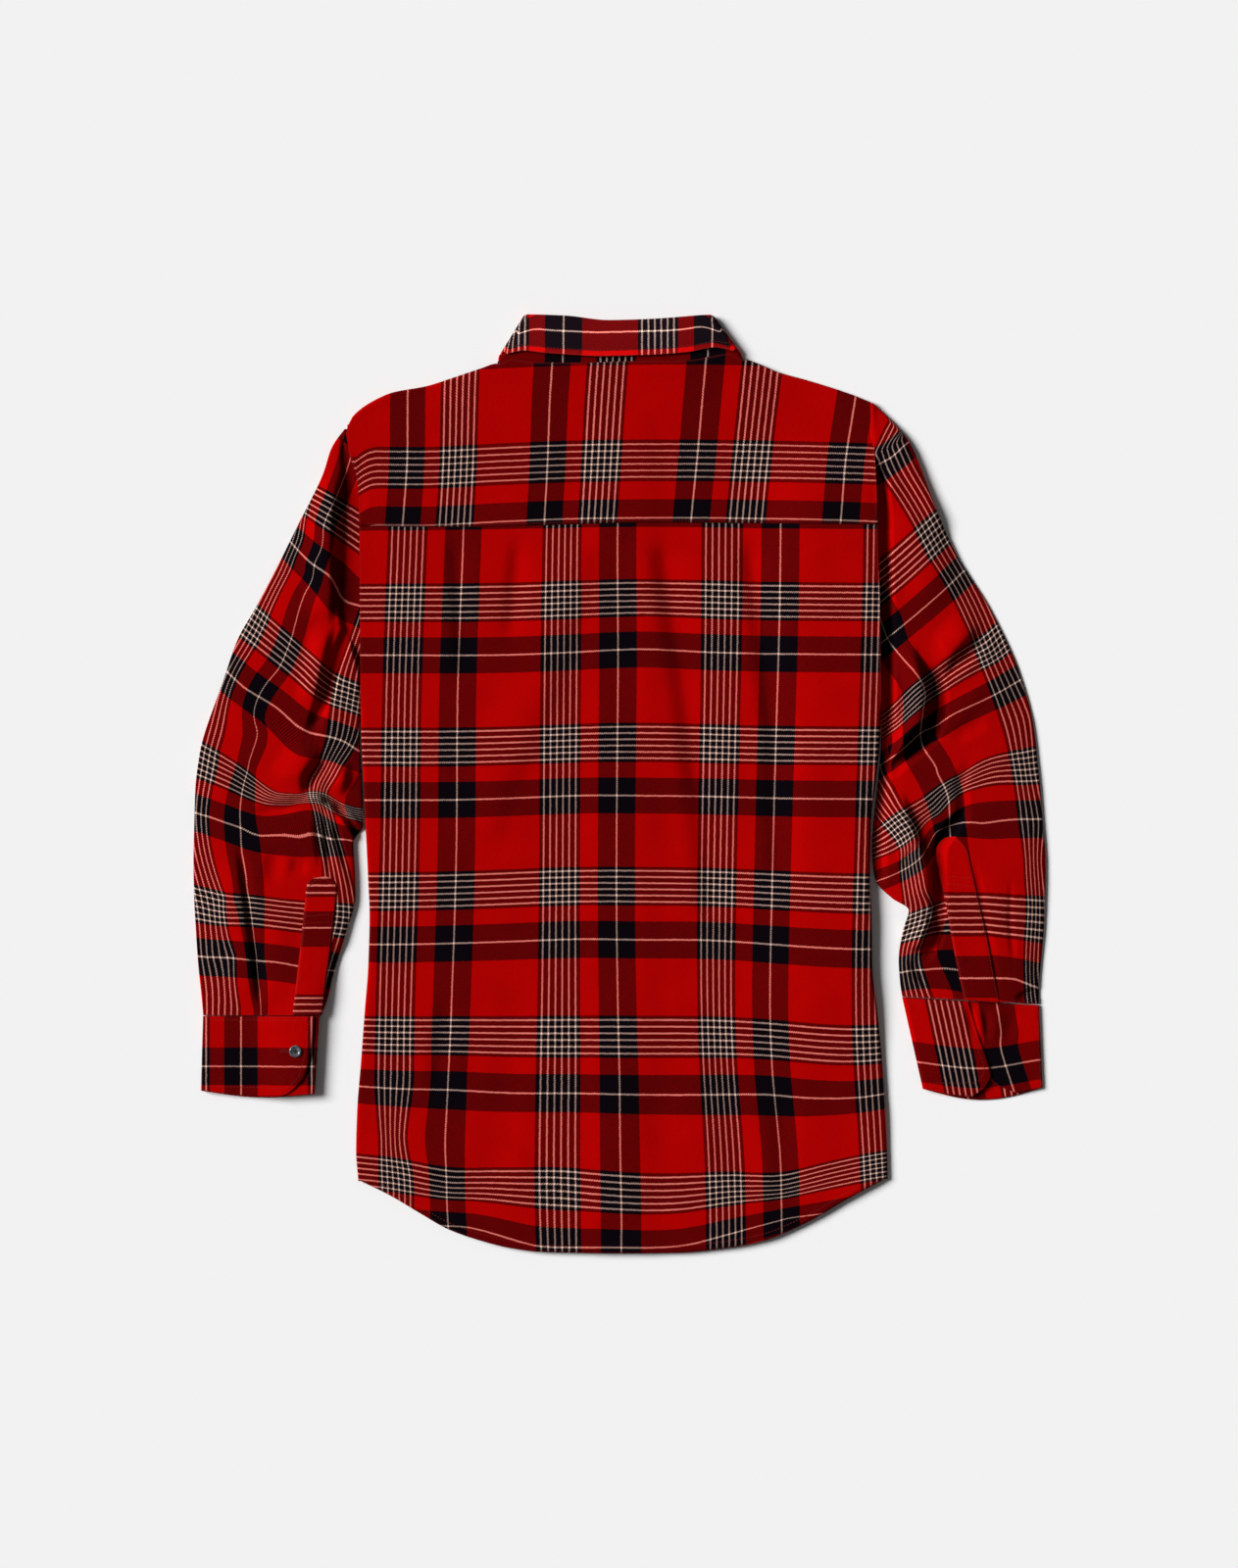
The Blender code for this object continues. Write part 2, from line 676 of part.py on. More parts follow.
def build_stand():
    """The band of the collar. Its left end passes under its right end at the centre front."""
    rows = []
    for height in (SEAM, STAND_TOP / 2, STAND_TOP - 2 * SEAM):
        row = []
        for side, place, share in round_places(FRONT_ROUND):
            past = place == "front" and share == 0.0
            point, out = collar_point(side, place, share, height, COLLAR_WALL)
            if past:
                point.x -= side * STAND_PAST
                point.y += 1 - height / STAND_TOP
            if side > 0 and place == "front" and share < 0.5:
                point.z += (COLLAR_WALL + 0.3) * min(1.0, (0.5 - share) / 0.3)
            row.append((point, out))
        rows.append(row)
    return wall("collar_stand", rows, COLLAR_WALL)


def leaf_puff(place, share, part):
    return LEAF_PUFF * math.sin(math.pi * part) * (1 - share**4) if place == "back" else 0.0


def build_leaf():
    """The collar's leaf: up from the stand, over the roll line and down outside the stand."""
    inner_off = COLLAR_WALL
    outer_off = 2 * COLLAR_WALL + LEAF_CLEAR
    turn_radius = (outer_off - inner_off + COLLAR_WALL) / 2
    rows = []
    for height in (STAND_TOP + SEAM / 2, ROLL - 8, ROLL - turn_radius):
        part = (height - STAND_TOP) / (ROLL - STAND_TOP) * 0.08
        row = []
        for side, place, share in round_places(front_shares(part)):
            point, out = collar_point(side, place, share, height, inner_off)
            row.append((point, -out))
        rows.append([(p + n * COLLAR_WALL, n) for p, n in row])
    for angle in (-45.0, 0.0, 45.0):
        a = math.radians(angle)
        height = ROLL - turn_radius + turn_radius * math.cos(a)
        off = (inner_off - COLLAR_WALL + outer_off) / 2 + turn_radius * math.sin(a)
        row = []
        for side, place, share in round_places(front_shares(0.1)):
            point, out = collar_point(side, place, share, height, off)
            lean = Vector((0.0, 1.0, 0.0))
            row.append((point, (lean * math.cos(a) + out * math.sin(a)).normalized()))
        rows.append(row)
    for part in (0.0, 0.2, 0.45, 0.72, 1.0):
        row = []
        for side, place, share in round_places(front_shares(0.12 + 0.88 * part)):
            turned_by = {"back": 0.5 * share, "turn": 0.5, "front": 1 - 0.5 * share}[place]
            if place == "turn":
                turned_by = between(0.47, 0.53, (45 - share) / 90)
            height = between(ROLL - turn_radius, read(LEAF_EDGE, turned_by), part)
            off = outer_off + leaf_puff(place, share, 0.15 + 0.7 * part)
            row.append(collar_point(side, place, share, height, off))
        rows.append(row)
    return wall("collar_leaf", rows, COLLAR_WALL)


def front_shares(part):
    """The leaf's places from its side fold to its front end, which runs out to the collar's point."""
    end = between(0.09, 0.42, part)
    return tuple(between(end, 1.0, share) for share in FRONT_ROUND)


# ---- buttons ----


def build_button(name, x, y, face_z, facing):
    """A turned button: a dished face with a raised rim, on a flat back. face_z is the height of its rim."""
    profile = (
        # radius share, depth below the rim
        (0.60, 0.55),
        (0.74, 0.05),
        (0.90, 0.0),
        (1.0, 0.55),
        (0.94, 1.35),
        (0.70, BUTTON_HEIGHT),
    )
    sides = 16
    mesh = bmesh.new()
    rings = []
    for share, depth in profile:
        turn = [2 * math.pi * i / sides for i in range(sides)]
        r = BUTTON_RADIUS * share
        z = face_z - facing * depth
        rings.append([mesh.verts.new(Vector((x + r * math.cos(t), y + r * math.sin(t), z)) * MM) for t in turn])
    for low, high in zip(rings, rings[1:]):
        for i in range(sides):
            k = (i + 1) % sides
            mesh.faces.new((low[i], low[k], high[k], high[i]))
    mesh.faces.new(rings[0])
    mesh.faces.new(rings[-1][::-1])
    return finish(name, mesh, "button")


def build_buttons():
    for number, y in enumerate(BUTTON_ROWS, start=1):
        build_button(f"button_front_{number}", CENTRE_X, y, 0.0, -1)
    build_button("button_collar", CENTRE_X, CENTRE_NECK_Y + STAND_TOP / 2, 0.0, -1)
    build_button("button_cuff_left", -303.2, -250.6, CUFF_HEIGHT + 0.3 + BUTTON_HEIGHT, 1)


def build_shirt():
    clear_scene()
    build_body()
    left = build_sleeve("sleeve_left", -1, LEFT_RINGS)
    right = build_sleeve("sleeve_right", 1, RIGHT_RINGS)
    build_strip("sleeve_strip_left", LEFT_STRIP, left)
    build_strip("sleeve_strip_right", RIGHT_STRIP, right)
    build_cuff("cuff_left", LEFT_CUFF)
    build_cuff("cuff_right", RIGHT_CUFF)
    build_stand()
    build_leaf()
    build_buttons()


build_shirt()
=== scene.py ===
# %% [markdown]
# # A plaid flannel shirt, laid flat on its front
# The shirt lies with its back up: collar folded down, a yoke over the shoulders, two sleeves brought
# down beside the body. Cloth this soft is one thin wall everywhere, so each sewn piece is a grid of faces
# that is moved onto the shirt's form and then given a thickness. A cloth simulation could find folds
# by itself, but folds that are placed one by one land where the real shirt has them, so they are placed.

# %% The frame
import json
import math

import bmesh
import bpy
import numpy as np
from mathutils import Matrix, Vector
from mathutils.bvhtree import BVHTree

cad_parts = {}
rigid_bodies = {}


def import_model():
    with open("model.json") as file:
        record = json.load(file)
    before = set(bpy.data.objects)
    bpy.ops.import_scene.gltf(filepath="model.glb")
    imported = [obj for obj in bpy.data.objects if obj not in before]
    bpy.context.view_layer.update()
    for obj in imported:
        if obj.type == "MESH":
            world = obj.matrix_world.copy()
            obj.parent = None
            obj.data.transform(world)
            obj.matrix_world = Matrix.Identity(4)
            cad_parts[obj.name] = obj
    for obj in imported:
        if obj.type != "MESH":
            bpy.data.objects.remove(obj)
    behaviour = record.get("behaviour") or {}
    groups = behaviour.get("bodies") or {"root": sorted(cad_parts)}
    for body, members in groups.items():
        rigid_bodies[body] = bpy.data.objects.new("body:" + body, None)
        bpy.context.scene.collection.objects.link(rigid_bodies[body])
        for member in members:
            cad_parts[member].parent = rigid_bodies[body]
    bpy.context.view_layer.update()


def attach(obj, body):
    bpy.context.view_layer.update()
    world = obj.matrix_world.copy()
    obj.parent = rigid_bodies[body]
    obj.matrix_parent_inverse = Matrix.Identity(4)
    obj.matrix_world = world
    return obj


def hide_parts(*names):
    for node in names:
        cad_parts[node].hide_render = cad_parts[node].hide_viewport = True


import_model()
MM = 0.001

# %% [markdown]
# ## Outlines
# A shirt's outline is a set of gentle curves. Each is kept as a short table of places along it, and a
# smooth curve runs through them. The curve used here never overshoots its table, so a straight seam
# stays straight between two places.


# %% A smooth curve through a table
def smooth(table, at, column=1):
    """The table's column at these values of its first column."""
    xs = np.array([row[0] for row in table], float)
    ys = np.array([row[column] for row in table], float)
    step = np.diff(xs)
    slope = np.diff(ys) / step
    product = slope[:-1] * slope[1:]
    total = np.where(product > 0, slope[:-1] + slope[1:], 1.0)
    tangent = np.concatenate([slope[:1], np.where(product > 0, 2 * product / total, 0.0), slope[-1:]])
    at = np.clip(at, xs[0], xs[-1])
    i = np.clip(np.searchsorted(xs, at) - 1, 0, len(xs) - 2)
    t = (at - xs[i]) / step[i]
    ahead = t * t * (3 - 2 * t)
    leave = t * (1 - t) ** 2 * step[i] * tangent[i]
    arrive = t * t * (t - 1) * step[i] * tangent[i + 1]
    return ys[i] * (1 - ahead) + ys[i + 1] * ahead + leave + arrive


def between(a, b, part):
    return a + (b - a) * part


def ease(part):
    part = np.clip(part, 0.0, 1.0)
    return part * part * (3 - 2 * part)


# %% The body's outline, in millimetres
BODY_SIDES = (
    # y, left x, right x
    (-371, -245, 252.4), (-345, -247, 251.9), (-308, -246, 250.7), (-259, -242.2, 247),
    (-209, -238.5, 242.1), (-172, -235.6, 237.8), (-123, -234.3, 237.1), (-91, -235.6, 235.8),
    (-40, -238, 236.5), (1, -240, 241), (57, -242.4, 245.8), (275, -244.5, 241.4), (331, -257.1, 239),
    (357, -257.1, 238),
)
HEM = (
    # x, y
    (-245, -371.5), (-214.8, -386.4), (-185.4, -403.9), (-160.5, -418), (-131.1, -428.4),
    (-101.7, -435.8), (-71.8, -439.5), (-30, -440.4), (10, -440.7), (51, -440.4), (100.3, -435.9),
    (137.3, -428.4), (161.9, -418.6), (186.6, -406.3), (211.1, -391.6), (252.4, -369.4),
)
YOKE_SEAM = ((-245, 242), (-137, 241.4), (26, 245.4), (245, 243.2))
SHOULDERS_AND_NECK = (
    # x, y
    (-257.1, 330.5), (-250.2, 345.2), (-231, 359.8), (-212, 368), (-181.8, 373.6), (-151.8, 383),
    (-129.3, 390.5), (-116, 394.5), (-79.9, 388.6), (-30.8, 388.3), (0, 389.4), (64.5, 390.7),
    (99.8, 396.5), (120, 398), (132, 394.3), (149, 387), (177.1, 379.2), (214.7, 367.2), (238, 358),
)
print("body:", len(BODY_SIDES), "places down each side,", len(HEM), "along the hem")


def side_x(side, y):
    return smooth(BODY_SIDES, y, 1 if side < 0 else 2)


# %% [markdown]
# ## Folds
# A fold is a ridge or a trough that runs along a line and dies out at both ends. Each row below says how
# high it stands, how wide it is on either hand, how soft its crest is, and where its line runs. Two layers
# of brushed cotton are about 6 mm thick with the air between them, and a pinched elbow stands twice that.

# %% How a fold lifts the cloth
FADE_SHARE, LONGEST_FADE = 0.4, 28.0


def relief(folds, x, y):
    total = np.zeros_like(x)
    for height, left, right, softness, *points in folds:
        nearest = np.full_like(x, 1e9)
        done = np.zeros_like(x)
        on_left = np.zeros(x.shape, bool)
        walked = 0.0
        for (x1, y1), (x2, y2) in zip(points, points[1:]):
            dx, dy = x2 - x1, y2 - y1
            length = math.hypot(dx, dy)
            t = np.clip(((x - x1) * dx + (y - y1) * dy) / length**2, 0.0, 1.0)
            gap = np.hypot(x - x1 - t * dx, y - y1 - t * dy)
            closer = gap < nearest
            nearest = np.where(closer, gap, nearest)
            done = np.where(closer, walked + t * length, done)
            on_left = np.where(closer, dx * (y - y1) - dy * (x - x1) > 0, on_left)
            walked += length
        fade = min(FADE_SHARE * walked, LONGEST_FADE)
        end = ease(np.minimum(done, walked - done) / fade)
        q = np.minimum(nearest / np.where(on_left, left, right), 1.0)
        total += height * (1 - q**softness) ** 2 * end
    return total


def waves(x, y):
    """Cloth that was worn and washed never lies quite flat."""
    slow = np.sin(0.052 * x + 0.021 * y + 0.8) * np.sin(0.017 * x - 0.044 * y + 2.2)
    quick = np.sin(0.118 * x - 0.035 * y) * np.sin(0.029 * x + 0.097 * y + 1.1)
    return 0.34 * slow + 0.14 * quick


# %% The back's folds
BACK_FOLDS = (
    # height; width on its left, on its right; softness; points along it
    # long crease right of the middle
    (-3.4, 38, 19, 1.4, (39, 236), (46, 184), (58, 110), (67, 46), (76, -23), (83, -83), (88, -135)),
    (1.5, 20, 30, 2, (22, 236), (28, 184), (38, 110), (47, 46), (56, -23)),  # its crest
    # crease towards the right side
    (-3.4, 32, 15, 1.4, (122, 236), (127, 184), (134, 138), (139, 92), (145, 46), (146, -23), (148, -100)),
    (1.2, 18, 26, 2, (103, 236), (108, 184), (116, 120), (124, 46)),  # its crest
    (-3, 19, 11, 1.5, (-156, 238), (-153, 202), (-149, 147), (-147, 90)),  # crease towards the left side
    (-2.6, 17, 12, 1.5, (-94, 240), (-98, 190), (-104, 130)),  # short crease under the yoke
    # broad fall to the left
    (2.4, 24, 44, 2, (-36, 236), (-58, 138), (-82, 69), (-116, -5), (-130, -60)),
    (-2.2, 26, 14, 1.5, (-160, -190), (-168, -239), (-174, -300)),  # low on the left
    (-2, 26, 14, 1.5, (149, -280), (152, -340), (155, -400)),  # low on the right
    (-1.2, 26, 26, 2, (-92, -180), (-104, -290), (-128, -400)),  # hem, left of the middle
    (-1.4, 26, 26, 2, (86, -200), (102, -300), (120, -400)),  # hem, right of the middle
    (1.1, 34, 34, 2, (-10, -250), (4, -330), (-4, -420)),  # middle of the hem
    (-1.6, 6, 5, 1.6, (-252, 316), (-243, 304), (-240, 290)),  # pucker at the left armhole
    (-1.5, 5, 5, 1.6, (-251, 300), (-243, 286), (-240, 268)),  # another
    (-1.2, 5, 5, 1.6, (-250, 282), (-242, 268), (-240, 252)),  # a third
)

# %% [markdown]
# ## How high the cloth lies
# The solids fix the heights: 6 mm for the two layers, a little more over the stack of button bands in
# front, and more again near the neck, where the collar's band is folded inside. The same numbers serve
# here, so the dressed shirt stays on its solids.

# %% Heights in millimetres
FLAT_HEIGHT = 6.0
EDGE_RADIUS = 3.0
CENTRE_X = 1.0
BAND_HALF = 17.5
BAND_FADE = 45.2
BAND_STEP = 1.3
CENTRE_HEIGHT = 7.4
COLLAR_WALL = 1.6
RING_GAP = 1.3
COLLAR_MID = 5.2
NECK_HEIGHT = COLLAR_MID + RING_GAP + COLLAR_WALL
NECK_LEFT, NECK_RIGHT = -116.0, 120.0
NECK_HALF = 113.0
CENTRE_NECK_Y = 345.0
ARMPIT_Y = 60.0
FOLD_LOW = ((-117.2, 395.0), (119.2, 398.5))
BUTTON_LIFT = 2.3
BUTTON_PITCH = 95.0
BUTTON_ROWS = [275.0 - BUTTON_PITCH * i for i in range(7)]


def stack_share(x):
    return np.clip((BAND_FADE - abs(x - CENTRE_X)) / (BAND_FADE - BAND_HALF), 0.0, 1.0)


def back_height(x, y):
    nearest = np.clip(x, NECK_LEFT, NECK_RIGHT)
    below = np.hypot(x - nearest, np.maximum(0.0, smooth(SHOULDERS_AND_NECK, nearest) - y))
    neck = between(NECK_HEIGHT, FLAT_HEIGHT, ease(below / 80))
    flat = between(FLAT_HEIGHT, CENTRE_HEIGHT, ease(stack_share(x)))
    return np.maximum(flat, neck) + side_swell(x, y) + relief(BACK_FOLDS, x, y) + waves(x, y)


def side_swell(x, y):
    """The right side stands a little higher before it turns down to its seam."""
    inside = side_x(1, y) - x
    swell = 5.2 + 1.0 * np.exp(-(((y + 130) / 100) ** 2)) + 2.6 * ease((y + 20) / 80)
    swell = swell * ease((330 - y) / 60) * ease((y + 300) / 130) * ease((x - 110) / 80)
    fall = (1 - np.clip(inside / 14, 0, 1)) ** 2
    return swell - 1.6 * fall * ease((330 - y) / 60)


def neckline(x):
    side_y = np.where(x < CENTRE_X, FOLD_LOW[0][1], FOLD_LOW[1][1])
    return between(CENTRE_NECK_Y, side_y, np.minimum(1.0, abs(x - CENTRE_X) / NECK_HALF) ** 2)


def front_height(layer):
    """The lower face of a front layer: 0 the button band, 1 the left front, 2 the right front."""

    def height(x, y):
        below = neckline(x) - y
        reach = np.where(abs(x - CENTRE_X) > BAND_HALF + 1, 62.0, 12.0)
        side = 1 - ease((abs(x - CENTRE_X) - 128) / 35)
        leaf = (COLLAR_WALL + 0.5) * side * (1 - ease((below - reach) / 40))
        share = stack_share(x)
        nearest = np.min([abs(y - row) for row in BUTTON_ROWS], axis=0)
        wave = BUTTON_LIFT * np.maximum(0.0, 1 - nearest / (BUTTON_PITCH / 2))
        ripple = 0.5 * (1 + np.sin(0.041 * x + 0.03 * y) * np.sin(0.05 * y - 0.013 * x))
        lift = np.maximum(leaf, BAND_STEP * share) + wave * share + (layer - 1) * BAND_STEP * share
        return lift + ripple * (1 - share) * (1 - ease((leaf - 0.1) / 0.4))

    return height


# %% [markdown]
# ## One way to lay every piece
# A piece starts as Blender's own grid. Its columns and rows get their places from a function, and each
# face corner gets a second pair of numbers, its UV: how far along the warp and the weft of the woven
# cloth that corner is, in metres. The plaid is drawn from those two numbers alone, so the stripes bend
# with the cloth and stop at the seams, as woven stripes do.

# %% A grid of cloth
CLOTH = bpy.data.collections.new("cloth")
bpy.context.scene.collection.children.link(CLOTH)
ROW_ENDS = ((0, False), (0, True))
ALL_ENDS = ROW_ENDS + ((1, False), (1, True))


def far_along(places, axis, from_last=False):
    """How far each corner is along the cloth from the first row (axis 0) or column (1), or from the last."""
    steps = np.linalg.norm(np.diff(places, axis=axis), axis=2)
    if from_last:
        steps = np.flip(steps, axis)
    far = np.pad(np.cumsum(steps, axis=axis), [(1, 0), (0, 0)] if axis == 0 else [(0, 0), (1, 0)])
    return np.flip(far, axis) if from_last else far


def place_mesh(name, data):
    piece = bpy.data.objects.new(name, data)
    CLOTH.objects.link(piece)
    return piece


def smooth_piece(name, mesh):
    data = bpy.data.meshes.new(name)
    mesh.to_mesh(data)
    mesh.free()
    data.shade_smooth()
    return place_mesh(name, data)


def lay_cloth(name, across, along, place, stripes, wall, sewn=ROW_ENDS, facing=1, tube=False, levels=0):
    """A cloth piece. place and stripes take the column and row numbers of all the grid's corners at once."""
    mesh = bmesh.new()
    bmesh.ops.create_grid(mesh, x_segments=across, y_segments=along, size=0.5)
    mesh.verts.ensure_lookup_table()
    corners = np.array([vert.co[:] for vert in mesh.verts])
    column = np.rint((corners[:, 0] + 0.5) * across).astype(int)
    row = np.rint((corners[:, 1] + 0.5) * along).astype(int)
    columns, rows = np.meshgrid(np.arange(across + 1), np.arange(along + 1))
    places = place(columns, rows)
    threads = stripes(places, columns, rows)
    seams = np.min([far_along(places, *end) for end in sewn], axis=0)
    edge = mesh.verts.layers.float.new("seam_distance")
    for vert, c, r in zip(mesh.verts, column, row):
        vert.co = Vector(places[r, c]) * MM
        vert[edge] = float(seams[r, c]) * MM
    uv = mesh.loops.layers.uv.new("threads")
    for face in mesh.faces:
        for loop in face.loops:
            k = loop.vert.index
            loop[uv].uv = Vector(threads[row[k], column[k]]) * MM
    if tube:
        bmesh.ops.remove_doubles(mesh, verts=mesh.verts[:], dist=1e-6)
        bmesh.ops.recalc_face_normals(mesh, faces=mesh.faces[:])
        middle = sum((f.calc_center_median().z for f in mesh.faces)) / len(mesh.faces)
        outward = sum(f.normal.z * (f.calc_center_median().z - middle) for f in mesh.faces)
    else:
        mesh.normal_update()
        outward = facing * sum(f.normal.z for f in mesh.faces)
    if outward < 0:
        bmesh.ops.reverse_faces(mesh, faces=mesh.faces[:])
    piece = smooth_piece(name, mesh)
    if levels:
        finer = piece.modifiers.new("Finer", "SUBSURF")
        finer.levels = finer.render_levels = levels
        finer.use_limit_surface = False
    thick = piece.modifiers.new("Wall", "SOLIDIFY")
    thick.thickness = wall * MM
    thick.offset = -1.0
    faces = piece.data.polygons
    print(name, "has", len(faces), "faces and", round(sum(f.area for f in faces), 4), "square metres")
    return piece


# %% [markdown]
# ## Where the stripes run
# Warp threads run down the body and weft threads run across it. A thin plate spline carries the stripe
# numbers from a few charted places to the whole piece, the way a bent ruler passes through pins.


# %% A spline through charted places
STIFFNESS = 0.002
CHUNK = 20000


def charted(table):
    """A function of x and y that passes close to the table's numbers at their places."""
    rows = np.array([(*spot, number) for number, *spots in table for spot in spots], float)
    spots, values = rows[:, :2] / 100, rows[:, 2]

    def bend(a, b):
        square = ((a[:, None, :] - b[None, :, :]) ** 2).sum(axis=2)
        return square * np.log(square + 1e-12) / 2

    count = len(rows)
    plane = np.hstack([np.ones((count, 1)), spots])
    pinned = bend(spots, spots) + STIFFNESS * np.eye(count)
    system = np.block([[pinned, plane], [plane.T, np.zeros((3, 3))]])
    weights = np.linalg.solve(system, np.concatenate([values, np.zeros(3)]))

    def value(x, y):
        asked = np.stack([x.ravel(), y.ravel()], axis=1) / 100
        found = np.empty(len(asked))
        for start in range(0, len(asked), CHUNK):
            part = asked[start : start + CHUNK]
            bent = bend(part, spots) @ weights[:count]
            found[start : start + CHUNK] = bent + weights[count] + part @ weights[count + 1 :]
        return found.reshape(x.shape)

    return value


# %% Stripes of the back and the yoke
WARP_PERIOD = 150.0
WEFT_PERIOD = 136.5
BACK_WARP = (
    # warp, then x, y of the places that have it
    (53.5, (-146.1, 232.8), (-148.9, 166.5), (-151.6, 78.2), (-152.5, -54.3), (-156.5, -186.8),
     (-160.4, -275.1), (-162.4, -319.2), (-161.5, -395.6)),
    (-19, (-229.8, -280), (-226, -333), (-226, -367)),
    (19, (-192.5, -280), (-198.6, -333), (-193, -367)),
    (203.5, (-1.4, 232.8), (-0.9, 110.4), (-2.3, -55.2), (-1.4, -186.8), (0.5, -275.1), (2.3, -407.6)),
    (353.5, (151.5, 232.8), (150.7, 166.5), (147.7, 55.2), (143.6, -98.4), (141.7, -211.6),
     (144.3, -275.1), (151.3, -349.6), (152.6, -407.6)),
)
BACK_WEFT = (
    # weft, then x, y of the places that have it
    (50, (-213.9, 120.9), (-155, 120.7), (-96.1, 121.4), (-37.3, 123.9), (21.6, 126.5), (80.5, 123.9),
     (139.4, 122.2), (227.7, 121.3)),
    (186.5, (-213.9, -15.2), (-155, -14.9), (-96.1, -13.2), (-37.3, -10.9), (21.6, -11), (80.5, -11.7),
     (139.4, -13.2), (227.7, -14.1)),
    (323, (-213.9, -150.7), (-155, -149.6), (-96.1, -147.7), (-37.3, -145.6), (21.6, -146.3),
     (80.5, -146.6), (139.4, -150.2), (227.7, -154.9)),
    (459.5, (-213.9, -285.8), (-155, -287.3), (-96.1, -290.3), (21.6, -291.6), (139.4, -291.7),
     (227.7, -294.1)),
    (546, (-209.2, -367.5), (-159.4, -376.7), (-56.6, -378.8), (100.4, -380.5), (154.5, -378.7),
     (241, -358.8)),
    (596, (-143.2, -416), (-78.2, -433.5), (-7.9, -435), (62.5, -433), (159.9, -407.5)),
)
YOKE_WEFT = (
    # weft, then x, y of the places that have it
    (186.5, (-198.8, 303.6), (-198.4, 362.5), (-201.8, 259.4)),
    (50, (-67, 303.6), (-64.8, 362.5), (-69.3, 259.4)),
    (-86.5, (73.2, 303.6), (78.4, 362.5), (68.7, 259.4)),
    (-223, (212.5, 303.6), (221.9, 362.5), (208.7, 259.4)),
)
YOKE_WARP = ((200, 100.5), (245.3, 53.5), (299, 0), (345, -43), (389, -79), (400, -88))
YOKE_RISE = (
    # x, how much higher the yoke's lines across run there
    (-245, -2), (-189, -2.5), (-110, 1), (-36, 3.8), (60, 4.6), (117, 4), (219, 1.5), (245, 0.5),
)


def by_place(warp, weft):
    """Stripes that depend on x and y alone."""

    def stripes(places, columns, rows):
        x, y = places[..., 0], places[..., 1]
        return np.stack([warp(x, y), weft(x, y)], axis=2)

    return stripes


def yoke_warp(x, y):
    droop = 10 * np.clip((-226 - x) / 21, 0, 1) ** 2
    return smooth(YOKE_WARP, y + droop - smooth(YOKE_RISE, x))


back_stripes = by_place(charted(BACK_WARP), charted(BACK_WEFT))
yoke_stripes = by_place(yoke_warp, charted(YOKE_WEFT))
front_stripes = by_place(lambda x, y: 353.5 - x, lambda x, y: 171.1 - y)

# %% [markdown]
# ## The body
# Back, yoke and two fronts are panels. At the sides the panels turn towards each other and meet at a
# seam halfway up; along the shoulders the yoke turns over to the front. The yoke's lower edge lies on the
# back's upper edge, as it does where a yoke is topstitched down.

# %% A panel's columns and rows
TURN_STEPS = 6
TURN_END = 88  # degrees
FIRST_GUESS = 240.0  # half the body, before its sides are read
SEAM_SLACK = 0.2
TUCK_DEPTH = 1.3
CORNER, CORNER_CUT = 9.0, 0.7


def panel_columns(main, left=True, right=True):
    """(side, angle, share) of each column: turned at a side seam, or at a share of the way across."""
    angles = np.radians(np.linspace(TURN_END, 0, TURN_STEPS + 1)[:-1])
    table = [(-1, a, 0.0) for a in angles] if left else []
    table += [(0, 0.0, share) for share in np.linspace(0, 1, main + 1)]
    table += [(1, a, 1.0) for a in angles[::-1]] if right else []
    return np.array(table)


def panel_place(columns, low, high, along, height, facing, ends, top_turn=False, tuck=0.0):
    """low, high: the y of the first and last rows at an x. ends: the panel's left and right x at a y."""
    turns = np.radians(np.linspace(0, TURN_END, TURN_STEPS + 1)[1:]) if top_turn else np.zeros(0)

    def place(column, row):
        side, angle, share = (columns[column, k] for k in range(3))
        flat_rows = along - len(turns)
        part = np.minimum(row, flat_rows) / flat_rows
        over = np.concatenate([np.zeros(flat_rows + 1), turns])[row]
        x = between(-FIRST_GUESS, FIRST_GUESS, share)
        for _ in range(5):
            y = between(low(x), high(x), part)
            left, right = ends(y + EDGE_RADIUS * np.sin(over))
            x = between(left, right, share)
        z = height(x, y)
        other = 0.0 if facing > 0 else FLAT_HEIGHT
        to_middle = abs((z + other) / 2 - z) - SEAM_SLACK
        sides = 1 - ease((y - ARMPIT_Y + 4) / 22)
        tops = ease((np.maximum(NECK_LEFT - x, x - NECK_RIGHT) + 2) / 10)
        drop = np.where(side == 0, 0.0, sides) * (1 - np.cos(angle)) + tops * (1 - np.cos(over))
        z = z - facing * to_middle * np.minimum(drop, 1.0)
        if tuck:
            z = z - facing * TUCK_DEPTH * ease((y - high(x) + tuck) / tuck * 1.6)
        corner = ease(1 - (high(x) - y) / CORNER) if top_turn else 0.0
        x = x + side * EDGE_RADIUS * (1 - CORNER_CUT * corner) * np.sin(angle)
        y = y + EDGE_RADIUS * np.sin(over)
        return np.stack([x, y, z], axis=2)

    return place


def panel_ends(left_edge, right_edge):
    """A panel's left and right x at a y: at the side seams, or at a straight edge."""

    def ends(y):
        left = side_x(-1, y) + EDGE_RADIUS if left_edge is None else np.full_like(y, left_edge)
        right = side_x(1, y) - EDGE_RADIUS if right_edge is None else np.full_like(y, right_edge)
        return left, right

    return ends


def panel(name, main, rows, low, high, height, stripes, wall, facing=1, left=None, right=None, **top):
    """A panel that turns at its side seams, unless left or right gives the x of a straight edge."""
    columns = panel_columns(main, left is None, right is None)
    place = panel_place(columns, low, high, rows, height, facing, panel_ends(left, right), **top)
    return lay_cloth(name, len(columns) - 1, rows, place, stripes, wall, ALL_ENDS, facing)


# %% Back and yoke
BODY_ACROSS, BACK_ROWS, YOKE_ROWS = 124, 160, 46
BACK_WALL = 1.2
YOKE_LAP = 6.0
NECK_LAP = 7.0


def hem(x):
    return smooth(HEM, x)


def yoke_seam(x):
    return smooth(YOKE_SEAM, x)


def back_top(x):
    return yoke_seam(x) + YOKE_LAP


def neck_share(x):
    return ease((x - NECK_LEFT - 3) / 14) * ease((NECK_RIGHT - 3 - x) / 14)


